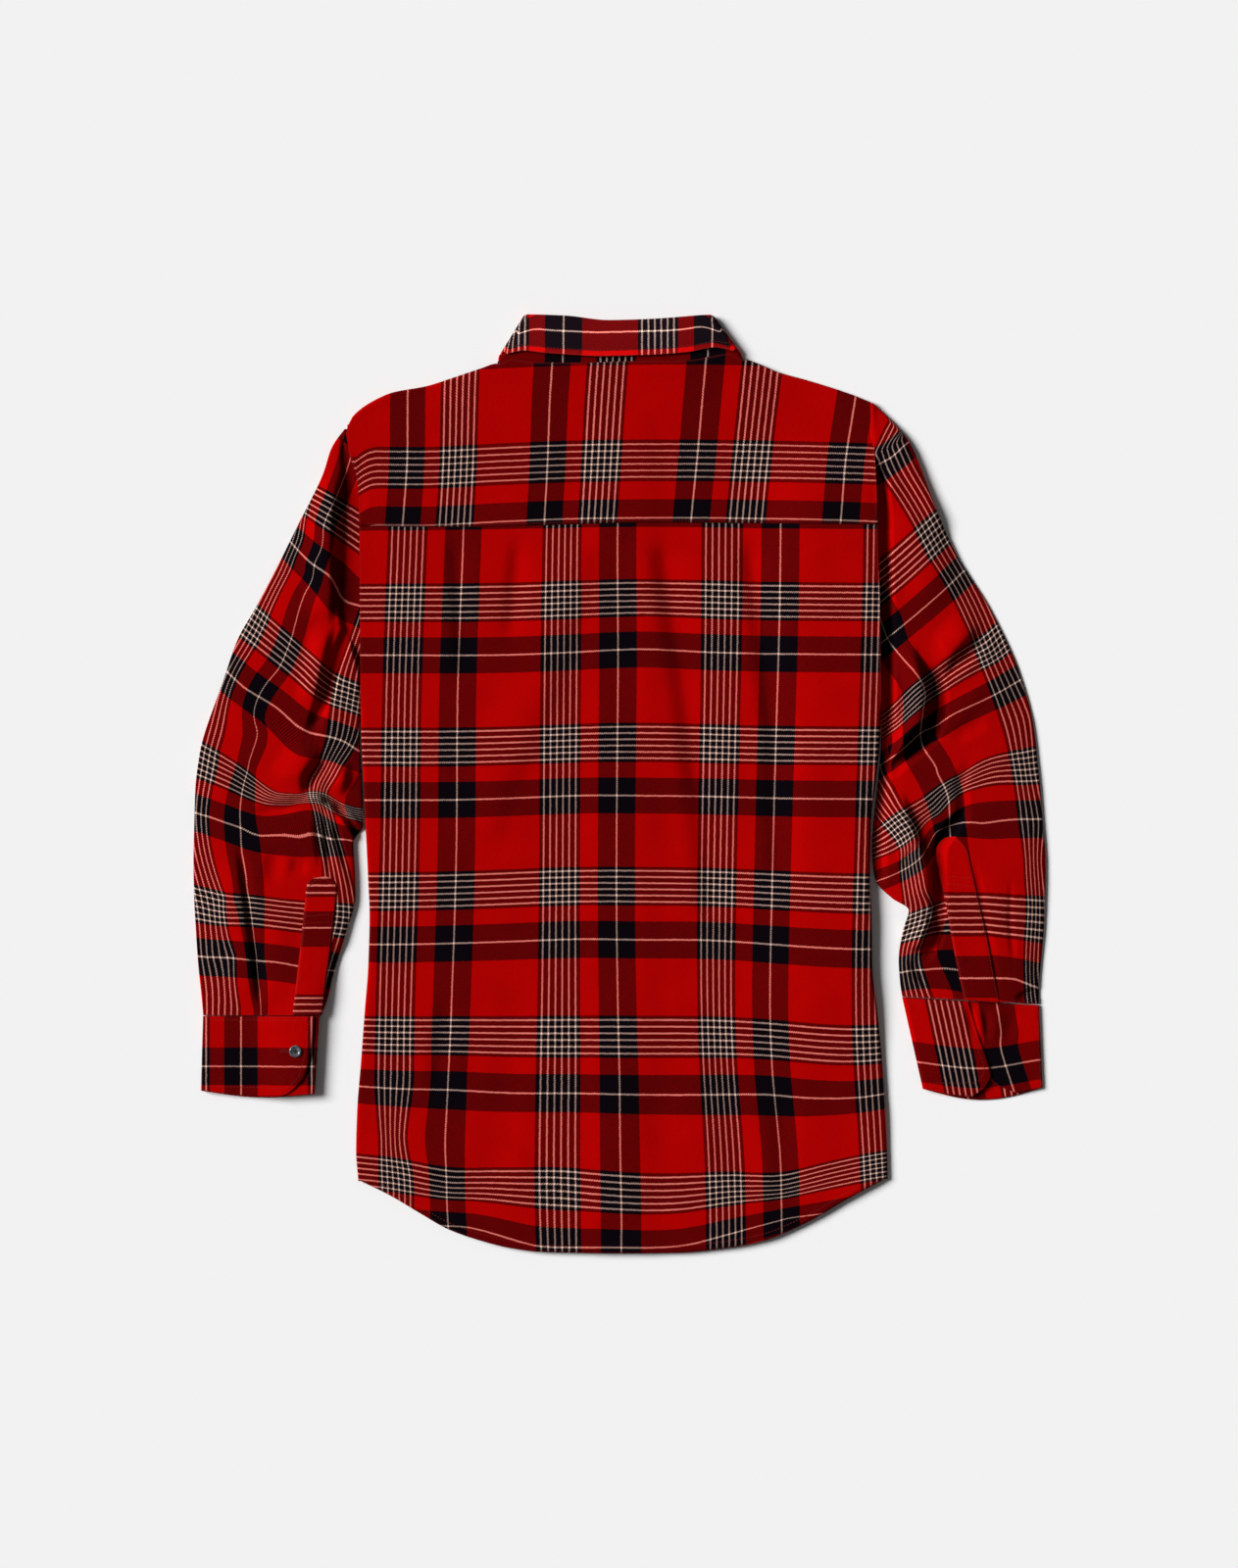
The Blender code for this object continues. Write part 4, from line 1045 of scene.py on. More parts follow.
RIGHT_CUFF_LINE = ((266, -258.5), (277, -260.5), (340, -267), (393, -259.4), (400, -258.5))
RIGHT_CUFF_BEND = ((-290, 0), (-266, -3), (-248, -4.5), (-232, -1), (-205, 1))


def right_cuff_weft(x, y, down):
    left, _, right, _ = cuff_sides(RIGHT_CUFF, down)
    share = (x - smooth(RIGHT_CUFF_BEND, y) * ease((x - 334) / 14) - left) / (right - left)
    group, navy = between(0.30, 0.335, down), between(0.68, 0.765, down)
    return 50.0 * (share - group) / (navy - group)


def right_cuff_warp(x, y):
    return 53.5 + (y - smooth(RIGHT_CUFF_LINE, x)) * 0.95


def cuff(name, shape, folds, weft_top, warp_of):
    place, stripes = cuff_place(shape, folds), cuff_stripes(weft_top, warp_of)
    return lay_cloth(name, len(CUFF_COLUMNS) - 1, CUFF_ROWS, place, stripes, CUFF_WALL, ALL_ENDS)


cuff_left = cuff("shirt_cuff_left", LEFT_CUFF, LEFT_CUFF_FOLDS, left_cuff_weft, left_cuff_warp)
cuff_right = cuff("shirt_cuff_right", RIGHT_CUFF, RIGHT_CUFF_FOLDS, right_cuff_weft, right_cuff_warp)

# %% [markdown]
# ## The collar
# The collar is a ring round the neck, pressed flat: a band that stands up from the neck seam, and a leaf
# that rolls over it and comes down outside. The ring's back half shows, its front half lies below. A
# coarse grid and a subdivision surface give the roll its even curve.

# %% The collar's ring
STAND_TOP = 33.0
STAND_PAST = 12.0
ROLL = 50.0
LEAF_CLEAR = 0.7
LEAF_PUFF = 2.4
FOLD_HIGH = ((-89.0, 440.8), (88.5, 440.4))
ROLL_LINE = ((-89.0, 440.8), (-50.3, 439.6), (-10.1, 435.4), (17.0, 436.0), (88.5, 440.4))
LEAF_EDGE = (
    # how far round from the centre back (0.5 is the side, 1 the centre front), height of the leaf's edge
    (0, 13), (0.15, 13.4), (0.3, 14.4), (0.42, 15.4), (0.5, 8), (0.55, 0), (0.6, -8), (0.8, -30),
)
BACK_ROUND = np.linspace(-1, 1, 33)
FRONT_ROUND = np.linspace(1, 0, 12)
TURN_ANGLES = (-60.0, -30.0, 0.0, 30.0, 60.0)


def fold_point(side, height):
    end = 0 if side < 0 else 1
    return Vector(FOLD_LOW[end]).lerp(Vector(FOLD_HIGH[end]), height / ROLL)


def collar_point(side, place, share, height, off):
    """A point of the ring: at a share of the way from the centre to a side, or at an angle of the turn."""
    edge = fold_point(side, height) - Vector((side * COLLAR_MID, 0.0))
    radius = RING_GAP + off
    if place == "turn":
        a = math.radians(share)
        return Vector((edge.x, edge.y, COLLAR_MID)) + Vector((side * math.cos(a), 0.0, math.sin(a))) * radius
    x = between(CENTRE_X, edge.x, share)
    if place == "back":
        middle = between(float(smooth(SHOULDERS_AND_NECK, x)), float(smooth(ROLL_LINE, x)), height / ROLL)
        return Vector((x, between(middle, edge.y, share**6), COLLAR_MID + radius))
    return Vector((x, between(CENTRE_NECK_Y + height, edge.y, share**2), COLLAR_MID - radius))


def round_places(front_shares):
    left = [(-1, "front", share) for share in front_shares[::-1]]
    left += [(-1, "turn", angle) for angle in TURN_ANGLES]
    back = [((-1 if share < 0 else 1), "back", abs(share)) for share in BACK_ROUND]
    right = [(1, "turn", angle) for angle in TURN_ANGLES[::-1]]
    right += [(1, "front", share) for share in front_shares]
    return left + back + right


def ring_row(shares, height, off):
    return [collar_point(side, place, share, height, off) for side, place, share in round_places(shares)]


def lay_ring(name, rows, weft_middle, weft_per_mm, warp_first, sewn):
    """A piece of the collar. It counts the weft from the centre back and the warp from the first row."""
    points = np.array([[point[:] for point in row] for row in rows])

    def stripes(places, column, row):
        far = far_along(places, 1)
        centre = places.shape[1] // 2
        weft = weft_middle + (far - far[:, centre : centre + 1]) * weft_per_mm
        return np.stack([warp_first - far_along(places, 0), weft], axis=2)

    def place(column, row):
        return points[row, column]

    return lay_cloth(name, points.shape[1] - 1, len(points) - 1, place, stripes, COLLAR_WALL, sewn, levels=2)


# %% The collar's band
stand_rows = []
for height in np.linspace(SEAM, STAND_TOP - 2 * SEAM, 5):
    row = ring_row(FRONT_ROUND, height, COLLAR_WALL)
    for point, (side, place, share) in zip(row, round_places(FRONT_ROUND)):
        if place == "front" and share < 0.1:
            point.x -= side * STAND_PAST * (1 - share / 0.1)
        if side > 0 and place == "front" and share < 0.5:
            point.z += (COLLAR_WALL + 0.3) * min(1.0, (0.5 - share) / 0.3)
    stand_rows.append(row)
stand = lay_ring("shirt_collar_stand", stand_rows, -3.8, -1.0, 70.5, ROW_ENDS)

# %% The collar's leaf
INNER_OFF = COLLAR_WALL
OUTER_OFF = 2 * COLLAR_WALL + LEAF_CLEAR
TURN_RADIUS = (OUTER_OFF - INNER_OFF + COLLAR_WALL) / 2


def front_shares(part):
    end = between(0.09, 0.42, part)
    return tuple(between(end, 1.0, share) for share in FRONT_ROUND)


leaf_rows = []
for part in np.linspace(1.0, 0.0, 12):
    row = []
    for side, place, share in round_places(front_shares(0.12 + 0.88 * part)):
        turned_by = {"back": 0.5 * share, "turn": 0.5, "front": 1 - 0.5 * share}[place]
        if place == "turn":
            turned_by = between(0.47, 0.53, (45 - share) / 90)
        low = float(smooth(LEAF_EDGE, turned_by))
        height = between(ROLL - TURN_RADIUS, low, part)
        puff = LEAF_PUFF * math.sin(math.pi * (0.15 + 0.7 * part))
        puff = puff * (1 - share**4) if place == "back" else 0.0
        row.append(collar_point(side, place, share, height, OUTER_OFF + puff))
    leaf_rows.append(row)
for angle in (60.0, 30.0, 0.0, -30.0, -60.0):
    a = math.radians(angle)
    height = ROLL - TURN_RADIUS + TURN_RADIUS * math.cos(a)
    off = (INNER_OFF - COLLAR_WALL + OUTER_OFF) / 2 + TURN_RADIUS * math.sin(a)
    leaf_rows.append(ring_row(front_shares(0.1), height, off))
for height in (ROLL - TURN_RADIUS, ROLL - 8, STAND_TOP + SEAM):
    shares = front_shares((height - STAND_TOP) / (ROLL - STAND_TOP) * 0.08)
    leaf_rows.append(ring_row(shares, height, INNER_OFF - COLLAR_WALL))
leaf = lay_ring("shirt_collar_leaf", leaf_rows, 101.8, 0.975, 76.0, (ALL_ENDS[0], *ALL_ENDS[2:]))

# %% [markdown]
# ## Buttons
# A shirt button is turned from a small disc: a raised rim, a dished middle and four holes for the thread.
# The disc is a profile spun round, and the holes are cut by four pins. One button is made and every
# other is a copy of its mesh.

# %% One button
BUTTON_PROFILE = (
    # radius, height
    (0, 1.3), (2.6, 1.3), (3.4, 1.45), (4.2, 1.95), (4.8, 2), (5.4, 1.8), (5.75, 1.35), (5.6, 0.75),
    (5, 0.25), (4, 0), (0, 0),
)
HOLE_RADIUS = 0.75
HOLE_REACH = 1.25
THREAD_HEIGHT = 1.48
THREAD_THICK = 0.42
THREAD_SHIFT = 0.22


def button_mesh():
    disc = bmesh.new()
    line = [disc.verts.new((r * MM, 0.0, z * MM)) for r, z in BUTTON_PROFILE]
    for a, b in zip(line, line[1:]):
        disc.edges.new((a, b))
    shape = disc.verts[:] + disc.edges[:]
    spin = {"axis": (0, 0, 1), "cent": (0, 0, 0), "steps": 40, "angle": 2 * math.pi, "use_merge": True}
    bmesh.ops.spin(disc, geom=shape, **spin)
    bmesh.ops.remove_doubles(disc, verts=disc.verts[:], dist=1e-6)
    bmesh.ops.recalc_face_normals(disc, faces=disc.faces[:])
    pins = bmesh.new()
    size = {"segments": 14, "radius1": HOLE_RADIUS * MM, "radius2": HOLE_RADIUS * MM, "depth": 0.008}
    reach = HOLE_REACH * MM
    for i in range(4):
        turn = math.pi / 4 + i * math.pi / 2
        spot = Matrix.Translation((reach * math.cos(turn), reach * math.sin(turn), 0.001))
        bmesh.ops.create_cone(pins, cap_ends=True, matrix=spot, **size)
    made = [smooth_piece("disc", disc), smooth_piece("pins", pins)]
    cut = made[0].modifiers.new("Holes", "BOOLEAN")
    cut.operation = "DIFFERENCE"
    cut.solver = "EXACT"
    cut.object = made[1]
    bpy.context.view_layer.update()
    finished = bpy.data.meshes.new_from_object(made[0].evaluated_get(bpy.context.evaluated_depsgraph_get()))
    for thing in made:
        bpy.data.objects.remove(thing)
    finished.shade_smooth()
    finished.set_sharp_from_angle(angle=math.radians(40))
    return finished


plain_button = button_mesh()
print("one button has", len(plain_button.polygons), "faces")


# %% A button and its thread in place
def strand(mesh, a, b, thick):
    """A short rounded strand of thread from one point to another."""
    way = Vector(b) - Vector(a)
    turn = Vector((1, 0, 0)).rotation_difference(way).to_matrix().to_4x4()
    size = Matrix.Diagonal((way.length * 1.05, thick, thick, 1.0))
    spot = Matrix.Translation((Vector(a) + Vector(b)) / 2) @ turn @ size
    bmesh.ops.create_uvsphere(mesh, u_segments=6, v_segments=4, radius=0.5, matrix=spot)


def sew_button(cad, x, y, z, facing, turn):
    """The button's back lies at height z, and its face looks up (1) or down (-1)."""
    flip = Matrix.Rotation(math.pi, 4, "X") if facing < 0 else Matrix.Identity(4)
    put = Matrix.Translation((x * MM, y * MM, z * MM)) @ flip @ Matrix.Rotation(math.radians(turn), 4, "Z")
    data = plain_button.copy()
    data.transform(put)
    buttons.append(place_mesh(f"shirt_{cad}", data))
    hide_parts(cad)
    thread = bmesh.new()
    reach = HOLE_REACH * MM * math.sqrt(0.5)
    for slope in (1, -1):
        for shift in (-THREAD_SHIFT * MM, THREAD_SHIFT * MM):
            spots = [Vector((s * reach + shift, s * slope * reach, THREAD_HEIGHT * MM)) for s in (-1, 1)]
            strand(thread, put @ spots[0], put @ spots[1], THREAD_THICK * MM)
    button_threads.append(smooth_piece(f"thread_{cad}", thread))


buttons, button_threads = [], []
for number, row in enumerate(BUTTON_ROWS, start=1):
    sew_button(f"button_front_{number}", CENTRE_X, row, 2.0, -1, 7 * number)
sew_button("button_collar", CENTRE_X, CENTRE_NECK_Y + STAND_TOP / 2, 2.0, -1, 20)
CUFF_BUTTON = (-303.2, -250.6)
sew_button("button_cuff_left", *CUFF_BUTTON, height_on(faces_of(cuff_left), *CUFF_BUTTON)[0] - 0.1, 1, 45)

# %% [markdown]
# ## Stitches
# Lines of topstitching hold the folded edges. Each stitch is a short strand that lies on the cloth, a
# little sunk in it, so the lines follow every fold. A path is a list of places; the heights are read from
# the cloth below.

# %% Sewing
STITCH_PITCH, STITCH_LENGTH, STITCH_THICK = 3.1, 2.2, 0.5
STEEPEST = 1.5


def stitched(path):
    """The two ends of each stitch along a path."""
    spots = np.array(path, float)
    far = np.concatenate([[0.0], np.cumsum(np.hypot(*np.diff(spots, axis=0).T))])
    at = np.arange(0.0, far[-1], STITCH_PITCH)
    spots = np.stack([np.interp(at, far, spots[:, 0]), np.interp(at, far, spots[:, 1])], axis=1)
    ways = [(b - a) / max(np.hypot(*(b - a)), 1e-6) for a, b in zip(spots, spots[1:])]
    return [(a, a + way * STITCH_LENGTH) for a, way in zip(spots, ways)]


def sewn_strands(name, pairs, cloth, down, lift, thick, steepest=1e3):
    """Strands between pairs of places on a cloth piece, from above or from below."""
    tree = faces_of(cloth)
    mesh = bmesh.new()
    count = 0
    for pair in pairs:
        heights = [height_on(tree, x, y, down)[0] for x, y in pair]
        if None in heights or abs(heights[0] - heights[1]) > steepest:
            continue
        strand(mesh, *(Vector((x, y, z + lift)) * MM for (x, y), z in zip(pair, heights)), thick * MM)
        count += 1
    print(name, "has", count, "strands")
    return smooth_piece(name, mesh)


def sew(name, paths, cloth, down=True):
    pairs = [pair for path in paths for pair in stitched(path)]
    return sewn_strands(name, pairs, cloth, down, 0.0, STITCH_THICK, STEEPEST)


def inset_path(first, last, count, edge, inside):
    """Places along a curve y = edge(x), moved inwards by this much."""
    return [(x, float(edge(np.array(x))) + inside) for x in np.linspace(first, last, count)]


# %% The seams that are topstitched
LEFT_STRIP_LINES = (
    # up the left side, over the top and down the right side, and twice across
    ((-304.3, -216), (-300.2, -180), (-296.0, -142), (-292.3, -105), (-291.2, -97), (-286.0, -90.5)),
    ((-286, -90.5), (-275.5, -89.2), (-268.4, -94), (-266.4, -103), (-270.2, -140), (-275.2, -178),
     (-280.2, -216)),
    ((-294.5, -124), (-268.6, -122)),
    ((-295.4, -131), (-269.4, -129)),
)
RIGHT_STRIP_LINES = (
    ((325.6, -202), (319.8, -176), (313.8, -145), (307.8, -110), (299.4, -72), (299.6, -62),
     (303.5, -55), (311, -51.2)),
    ((311, -51.2), (320, -55.5), (326, -63.5), (328.8, -76), (337, -113), (345, -148), (350.8, -180),
     (355.8, -203)),
    ((303.0, -86), (331.4, -88.6)),
    ((304.6, -93), (333.0, -96)),
)
HEM_INSET = 6.5


def cuff_line(shape, part, down):
    """A place on a cuff: how far across, from 0 to 1, and how far down."""
    sx, sy, ex, ey = cuff_sides(shape, down)
    return between(sx, ex, part), between(sy, ey, part)


def cuff_paths(shape):
    def end_at(down):
        return float(smooth(shape["ends"], down))

    across = [cuff_line(shape, part, 0.05) for part in np.linspace(0.03, end_at(0.0) - 0.03, 30)]
    around = [cuff_line(shape, end_at(down) - 0.05, down) for down in np.linspace(0.05, 0.93, 24)]
    around += [cuff_line(shape, part, 0.935) for part in np.linspace(end_at(0.93) - 0.06, 0.03, 30)]
    return [across, around]


leaf_line = sorted((p.x, p.y) for p in leaf_rows[0] if p.z > COLLAR_MID + 4)
band_lines = [[(x, y) for y in np.linspace(-430, 330, 200)] for x in (BAND_LEFT + 4.5, BAND_RIGHT - 4.5)]
stitches = [
    sew("stitches_yoke", [inset_path(-236, 236, 160, yoke_seam, 2.2)], yoke),
    sew("stitches_hem", [inset_path(-238, 243, 200, hem, HEM_INSET)], back),
    sew("stitches_strip_left", LEFT_STRIP_LINES, strip_left),
    sew("stitches_strip_right", RIGHT_STRIP_LINES, strip_right),
    sew("stitches_cuff_left", cuff_paths(LEFT_CUFF), cuff_left),
    sew("stitches_cuff_right", cuff_paths(RIGHT_CUFF), cuff_right),
    sew("stitches_collar_leaf", [[(x, y + 5.5) for x, y in leaf_line[1:-1]]], leaf),
    sew("stitches_front_band", band_lines, front_band, down=False),
]
for label, cloth, first, last in (("left", front_left, -236, -20), ("right", front_right, 22, 240)):
    line = inset_path(first, last, 100, front_hem, HEM_INSET)
    stitches.append(sew(f"stitches_front_hem_{label}", [line], cloth, down=False))

# %% Buttonholes
BAR_PITCH, BAR_THICK, BAR_LIFT = 0.7, 0.55, 0.15


def buttonhole(name, x, y, long, turn, cloth, down):
    """A slit with close stitches round it."""
    c, s = math.cos(math.radians(turn)), math.sin(math.radians(turn))
    pairs = []
    for i in range(round(long / BAR_PITCH)):
        along = -long / 2 + BAR_PITCH * (i + 0.5)
        for hand in (-1, 1):
            out = [(c * along - s * hand * off, s * along + c * hand * off) for off in (0.25, 1.3)]
            pairs.append([(x + dx, y + dy) for dx, dy in out])
    return sewn_strands(name, pairs, cloth, down, BAR_LIFT if down else -BAR_LIFT, BAR_THICK)


stitches.append(buttonhole("buttonhole_cuff_left", -310.6, -250.4, 15.0, 0, cuff_left, True))
for number, row in enumerate(BUTTON_ROWS, start=1):
    hole = buttonhole(f"buttonhole_front_{number}", CENTRE_X, row - 2.5, 17.0, 90, front_band, False)
    stitches.append(hole)

# %% [markdown]
# ## The plaid
# Plaid is two sets of coloured stripes, one in the warp and one in the weft. Where they cross, the eye mixes
# the two yarns evenly, so red over navy looks dark red and cream over red looks salmon. One node group
# draws a set of stripes, it is used twice, and a fine diagonal, the twill, decides which yarn lies on top.

# %% The orders of stripes
RED = (0.628, 0.003, 0.003)
NAVY = (0.058, 0.045, 0.064)
CREAM = (0.95, 0.785, 0.705)
SIZES = ("Period", "Group Half", "Line", "Pitch", "Band At", "Band Half")
STRIPES = {
    # all in millimetres, measured from the middle of the six-line group
    "warp": dict(zip(SIZES, (WARP_PERIOD, 19.0, 1.5, 5.95, 53.5, 17.6))),
    "weft": dict(zip(SIZES, (WEFT_PERIOD, 18.4, 1.6, 5.85, 50.0, 17.0))),
}
BLUR = 0.35
print("stripes in one repeat: six cream lines on navy, and a navy band with one cream line")


# %% Small helpers for node trees
class Wire:
    """A value that runs through a node tree. A sum written with wires becomes nodes."""

    def __init__(self, tree, socket):
        self.tree, self.socket = tree, socket

    def output(self, name):
        """Another output of the same node."""
        return Wire(self.tree, self.socket.node.outputs[name])

    def maths(self, operation, *others):
        return node(self.tree, "ShaderNodeMath", dict(enumerate((self, *others))), operation=operation)

    def __add__(self, other):
        return self.maths("ADD", other)

    def __sub__(self, other):
        return self.maths("SUBTRACT", other)

    def __mul__(self, other):
        return self.maths("MULTIPLY", other)

    def __truediv__(self, other):
        return self.maths("DIVIDE", other)

    def __abs__(self):
        return self.maths("ABSOLUTE")


def connect(tree, sockets, values):
    """Each named socket is wired or set."""
    for name, value in dict(values).items():
        if isinstance(value, Wire):
            tree.links.new(value.socket, sockets[name])
        else:
            sockets[name].default_value = value


def node(tree, kind, values=(), output=0, **settings):
    made = tree.nodes.new(kind)
    for key, value in settings.items():
        setattr(made, key, value)
    connect(tree, made.inputs, values)
    return Wire(tree, made.outputs[output])


def blend(tree, kind, factor, a, b):
    return node(tree, "ShaderNodeMix", {0: factor, 6: a, 7: b}, 2, data_type="RGBA", blend_type=kind)


def noise(at, scale, detail, roughness=0.5, **more):
    values = {"Vector": at, "Scale": scale, "Detail": detail, "Roughness": roughness, **more}
    return node(at.tree, "ShaderNodeTexNoise", values)


def fades(distance, start, end, curve="LINEAR"):
    """1 nearer than start, 0 beyond end."""
    values = {"Value": distance, "From Min": start, "From Max": end, "To Min": 1.0, "To Max": 0.0}
    return node(distance.tree, "ShaderNodeMapRange", values, interpolation_type=curve)


def bumps(height, strength, distance, **below):
    values = {"Height": height, "Strength": strength, "Distance": distance, **below}
    return node(height.tree, "ShaderNodeBump", values)


def new_group(name, inputs, outputs):
    """A node group. An input with no value is a vector, and an output named Colour is a colour."""
    group = bpy.data.node_groups.new(name, "ShaderNodeTree")
    for socket, value in inputs.items():
        kind = "NodeSocketVector" if value is None else "NodeSocketFloat"
        made = group.interface.new_socket(socket, in_out="INPUT", socket_type=kind)
        if value is not None:
            made.default_value = value
    for socket in outputs:
        kind = "NodeSocketColor" if socket == "Colour" else "NodeSocketFloat"
        group.interface.new_socket(socket, in_out="OUTPUT", socket_type=kind)
    given, out = group.nodes.new("NodeGroupInput"), group.nodes.new("NodeGroupOutput")
    return group, {socket: Wire(group, given.outputs[socket]) for socket in inputs}, out.inputs


# %% The plaid as a node group
def soft_band(distance, half, blur):
    """1 where the distance is less than half, 0 beyond, with a blurred edge between."""
    return fades(distance, half - blur, half + blur, "SMOOTHSTEP")


def stripe_group():
    """From a place along one set of threads to that set's colour there."""
    group, given, out = new_group("stripes", {"At": 0.0, **STRIPES["warp"], "Blur": BLUR}, ["Colour"])
    period, pitch, blur = given["Period"], given["Pitch"], given["Blur"]
    at = ((given["At"] / period + 0.5).maths("FRACT") - 0.5) * period
    from_band = abs(at - given["Band At"])
    from_line = abs((at / pitch).maths("FRACT") - 0.5) * pitch
    half_line = given["Line"] * 0.5
    in_group = soft_band(abs(at), given["Group Half"], blur)
    in_band = soft_band(from_band, given["Band Half"], blur)
    six = soft_band(from_line, half_line, blur) * in_group
    cream = six.maths("MAXIMUM", soft_band(from_band, half_line, blur))
    dark = blend(group, "MIX", in_group.maths("MAXIMUM", in_band), (*RED, 1.0), (*NAVY, 1.0))
    connect(group, out, {"Colour": blend(group, "MIX", cream, dark, (*CREAM, 1.0))})
    return group


def plaid_group():
    """From a place in the cloth, warp and weft in metres, to its colour and the height of its twill."""
    stripes = stripe_group()
    inputs = {"Threads": None, "Twill": 0.0021, "Wander": 0.0012, "Weft Share": 0.52}
    group, given, out = new_group("plaid", inputs, ["Colour", "Twill Height"])
    threads = given["Threads"]
    place = node(group, "ShaderNodeSeparateXYZ", {0: threads})
    colours = []
    for axis, kind, grain in (("X", "warp", 230.0), ("Y", "weft", 210.0)):
        moved = (noise(threads, grain, 3.0, 0.7) - 0.5) * given["Wander"]
        at = (place.output(axis) + moved) / MM
        colours.append(node(group, "ShaderNodeGroup", {"At": at, **STRIPES[kind]}, node_tree=stripes))
    turns = (place.output("X") + place.output("Y")) / given["Twill"] * (2 * math.pi)
    twill = (turns + noise(threads, 900.0, 2.0) * 4.0).maths("SINE")
    mixed = blend(group, "MIX", twill * 0.19 + given["Weft Share"], *colours)
    even = node(group, "ShaderNodeGamma", {"Color": mixed, "Gamma": 2.2})
    connect(group, out, {"Colour": even, "Twill Height": twill})
    return group


def nap_group():
    """Brushed fibres: a fine uneven height, and soft patches that are a little lighter or darker. Seam: 1
    within a millimetre or two of a sewn edge, the mask for the painted shade there.
    """
    inputs = {"Threads": None, "Seam Distance": 1.0}
    group, given, out = new_group("nap", inputs, ["Height", "Shade", "Seam"])
    threads, seam = given["Threads"], given["Seam Distance"]
    puckers = noise(threads, 120.0, 1.0) * fades(seam, 0.0015, 0.013) * 1.6
    height = noise(threads, 1400.0, 2.0, 0.6) * 0.35 + noise(threads, 260.0, 3.0, 0.65) + puckers
    shade = noise(threads, 26.0, 4.0, 0.6) * 0.22 + 0.89
    connect(group, out, {"Height": height, "Shade": shade, "Seam": fades(seam, 0.0004, 0.0022)})
    return group


PLAID, NAP = plaid_group(), nap_group()

# %% [markdown]
# ## Materials
# Flannel scatters light from a soft pile: almost no gloss, a high roughness and a faint sheen of its own
# colour. The buttons are polished plastic with a smoky, pearly figure. The thread is plain cotton.


# %% Flannel
def new_material(name):
    made = bpy.data.materials.new(name)
    made.use_nodes = True
    return made, made.node_tree, made.node_tree.nodes["Principled BSDF"]


def flannel_material(name, weft_share, lift, painted_light_gain):
    """weft_share: how much of the weft shows. lift: a pale haze added to the colour, a painted sheen of the
    pile. gain: painted light, how much brighter the whole colour is drawn.
    """
    made, tree, shader = new_material(name)
    threads = node(tree, "ShaderNodeUVMap", uv_map="threads")
    seams = node(tree, "ShaderNodeAttribute", output="Fac", attribute_name="seam_distance")
    plaid = node(tree, "ShaderNodeGroup", {"Threads": threads, "Weft Share": weft_share}, node_tree=PLAID)
    nap = node(tree, "ShaderNodeGroup", {"Threads": threads, "Seam Distance": seams}, node_tree=NAP)
    shade = node(tree, "ShaderNodeCombineColor", {channel: nap.output("Shade") for channel in range(3)})
    colour = blend(tree, "MULTIPLY", 1.0, plaid, shade)
    # Painted shade: near each sewn edge the colour is mixed towards dark red, where the cloth turns under.
    colour = blend(tree, "MIX", nap.output("Seam") * 0.22, colour, (0.20, 0.012, 0.012, 1.0))
    # Painted light: a pale haze is added and the whole colour is brightened by the gain. On the collar this
    # makes a lighter copy of the same flannel.
    colour = blend(tree, "ADD", lift, colour, (0.20, 0.12, 0.12, 1.0))
    colour = blend(tree, "MULTIPLY", 1.0, colour, (painted_light_gain, painted_light_gain, painted_light_gain, 1.0))
    twill = bumps(plaid.output("Twill Height"), 0.25, 0.00012)
    finish = {
        "Base Color": colour,
        "Normal": bumps(nap.output("Height"), 0.55, 0.00045, Normal=twill),
        "Roughness": 0.95,
        "Specular IOR Level": 0.02,
        "Sheen Weight": 0.04,
        "Sheen Roughness": 0.45,
        "Sheen Tint": (1.0, 0.08, 0.06, 1.0),
    }
    connect(tree, shader.inputs, finish)
    return made


# %% Buttons and thread
def button_material():
    made, tree, shader = new_material("smoky_button")
    place = node(tree, "ShaderNodeTexCoord", output="Object")
    figure = noise(place, 320.0, 4.0, Distortion=1.4)
    ramp = node(tree, "ShaderNodeValToRGB", {0: figure})
    ends = ((0.35, (0.018, 0.020, 0.026, 1.0)), (0.68, (0.115, 0.125, 0.140, 1.0)))
    for element, (position, colour) in zip(ramp.socket.node.color_ramp.elements, ends):
        element.position, element.color = position, colour
    rub = node(tree, "ShaderNodeMapRange", {"Value": figure, "To Min": 0.18, "To Max": 0.34})
    connect(tree, shader.inputs, {"Base Color": ramp, "Roughness": rub, "Coat Weight": 0.3})
    return made


def thread_material(name, colour):
    made, tree, shader = new_material(name)
    fray = noise(node(tree, "ShaderNodeTexCoord", output="Object"), 2500.0, 2.0)
    light = tuple(min(1.0, c * 1.5) for c in colour)
    mixed = blend(tree, "MIX", fray, (*colour, 1.0), (*light, 1.0))
    finish = {"Base Color": mixed, "Normal": bumps(fray, 0.4, 0.0001), "Roughness": 0.8}
    connect(tree, shader.inputs, {**finish, "Specular IOR Level": 0.2})
    return made


FLANNEL = flannel_material("red_plaid_flannel", 0.52, 0.0, 1.0)
# The collar's leaf gets a lit copy of the flannel: painted light, 1.85 times brighter with a faint pale haze.
COLLAR_FLANNEL_PAINTED_LIGHT = flannel_material("collar_plaid_flannel_painted_light", 0.46, 0.009, 1.85)
BUTTON = button_material()
SEAM_THREAD = thread_material("dark_red_thread", (0.16, 0.008, 0.008))
BUTTON_THREAD = thread_material("navy_thread", (0.02, 0.02, 0.03))

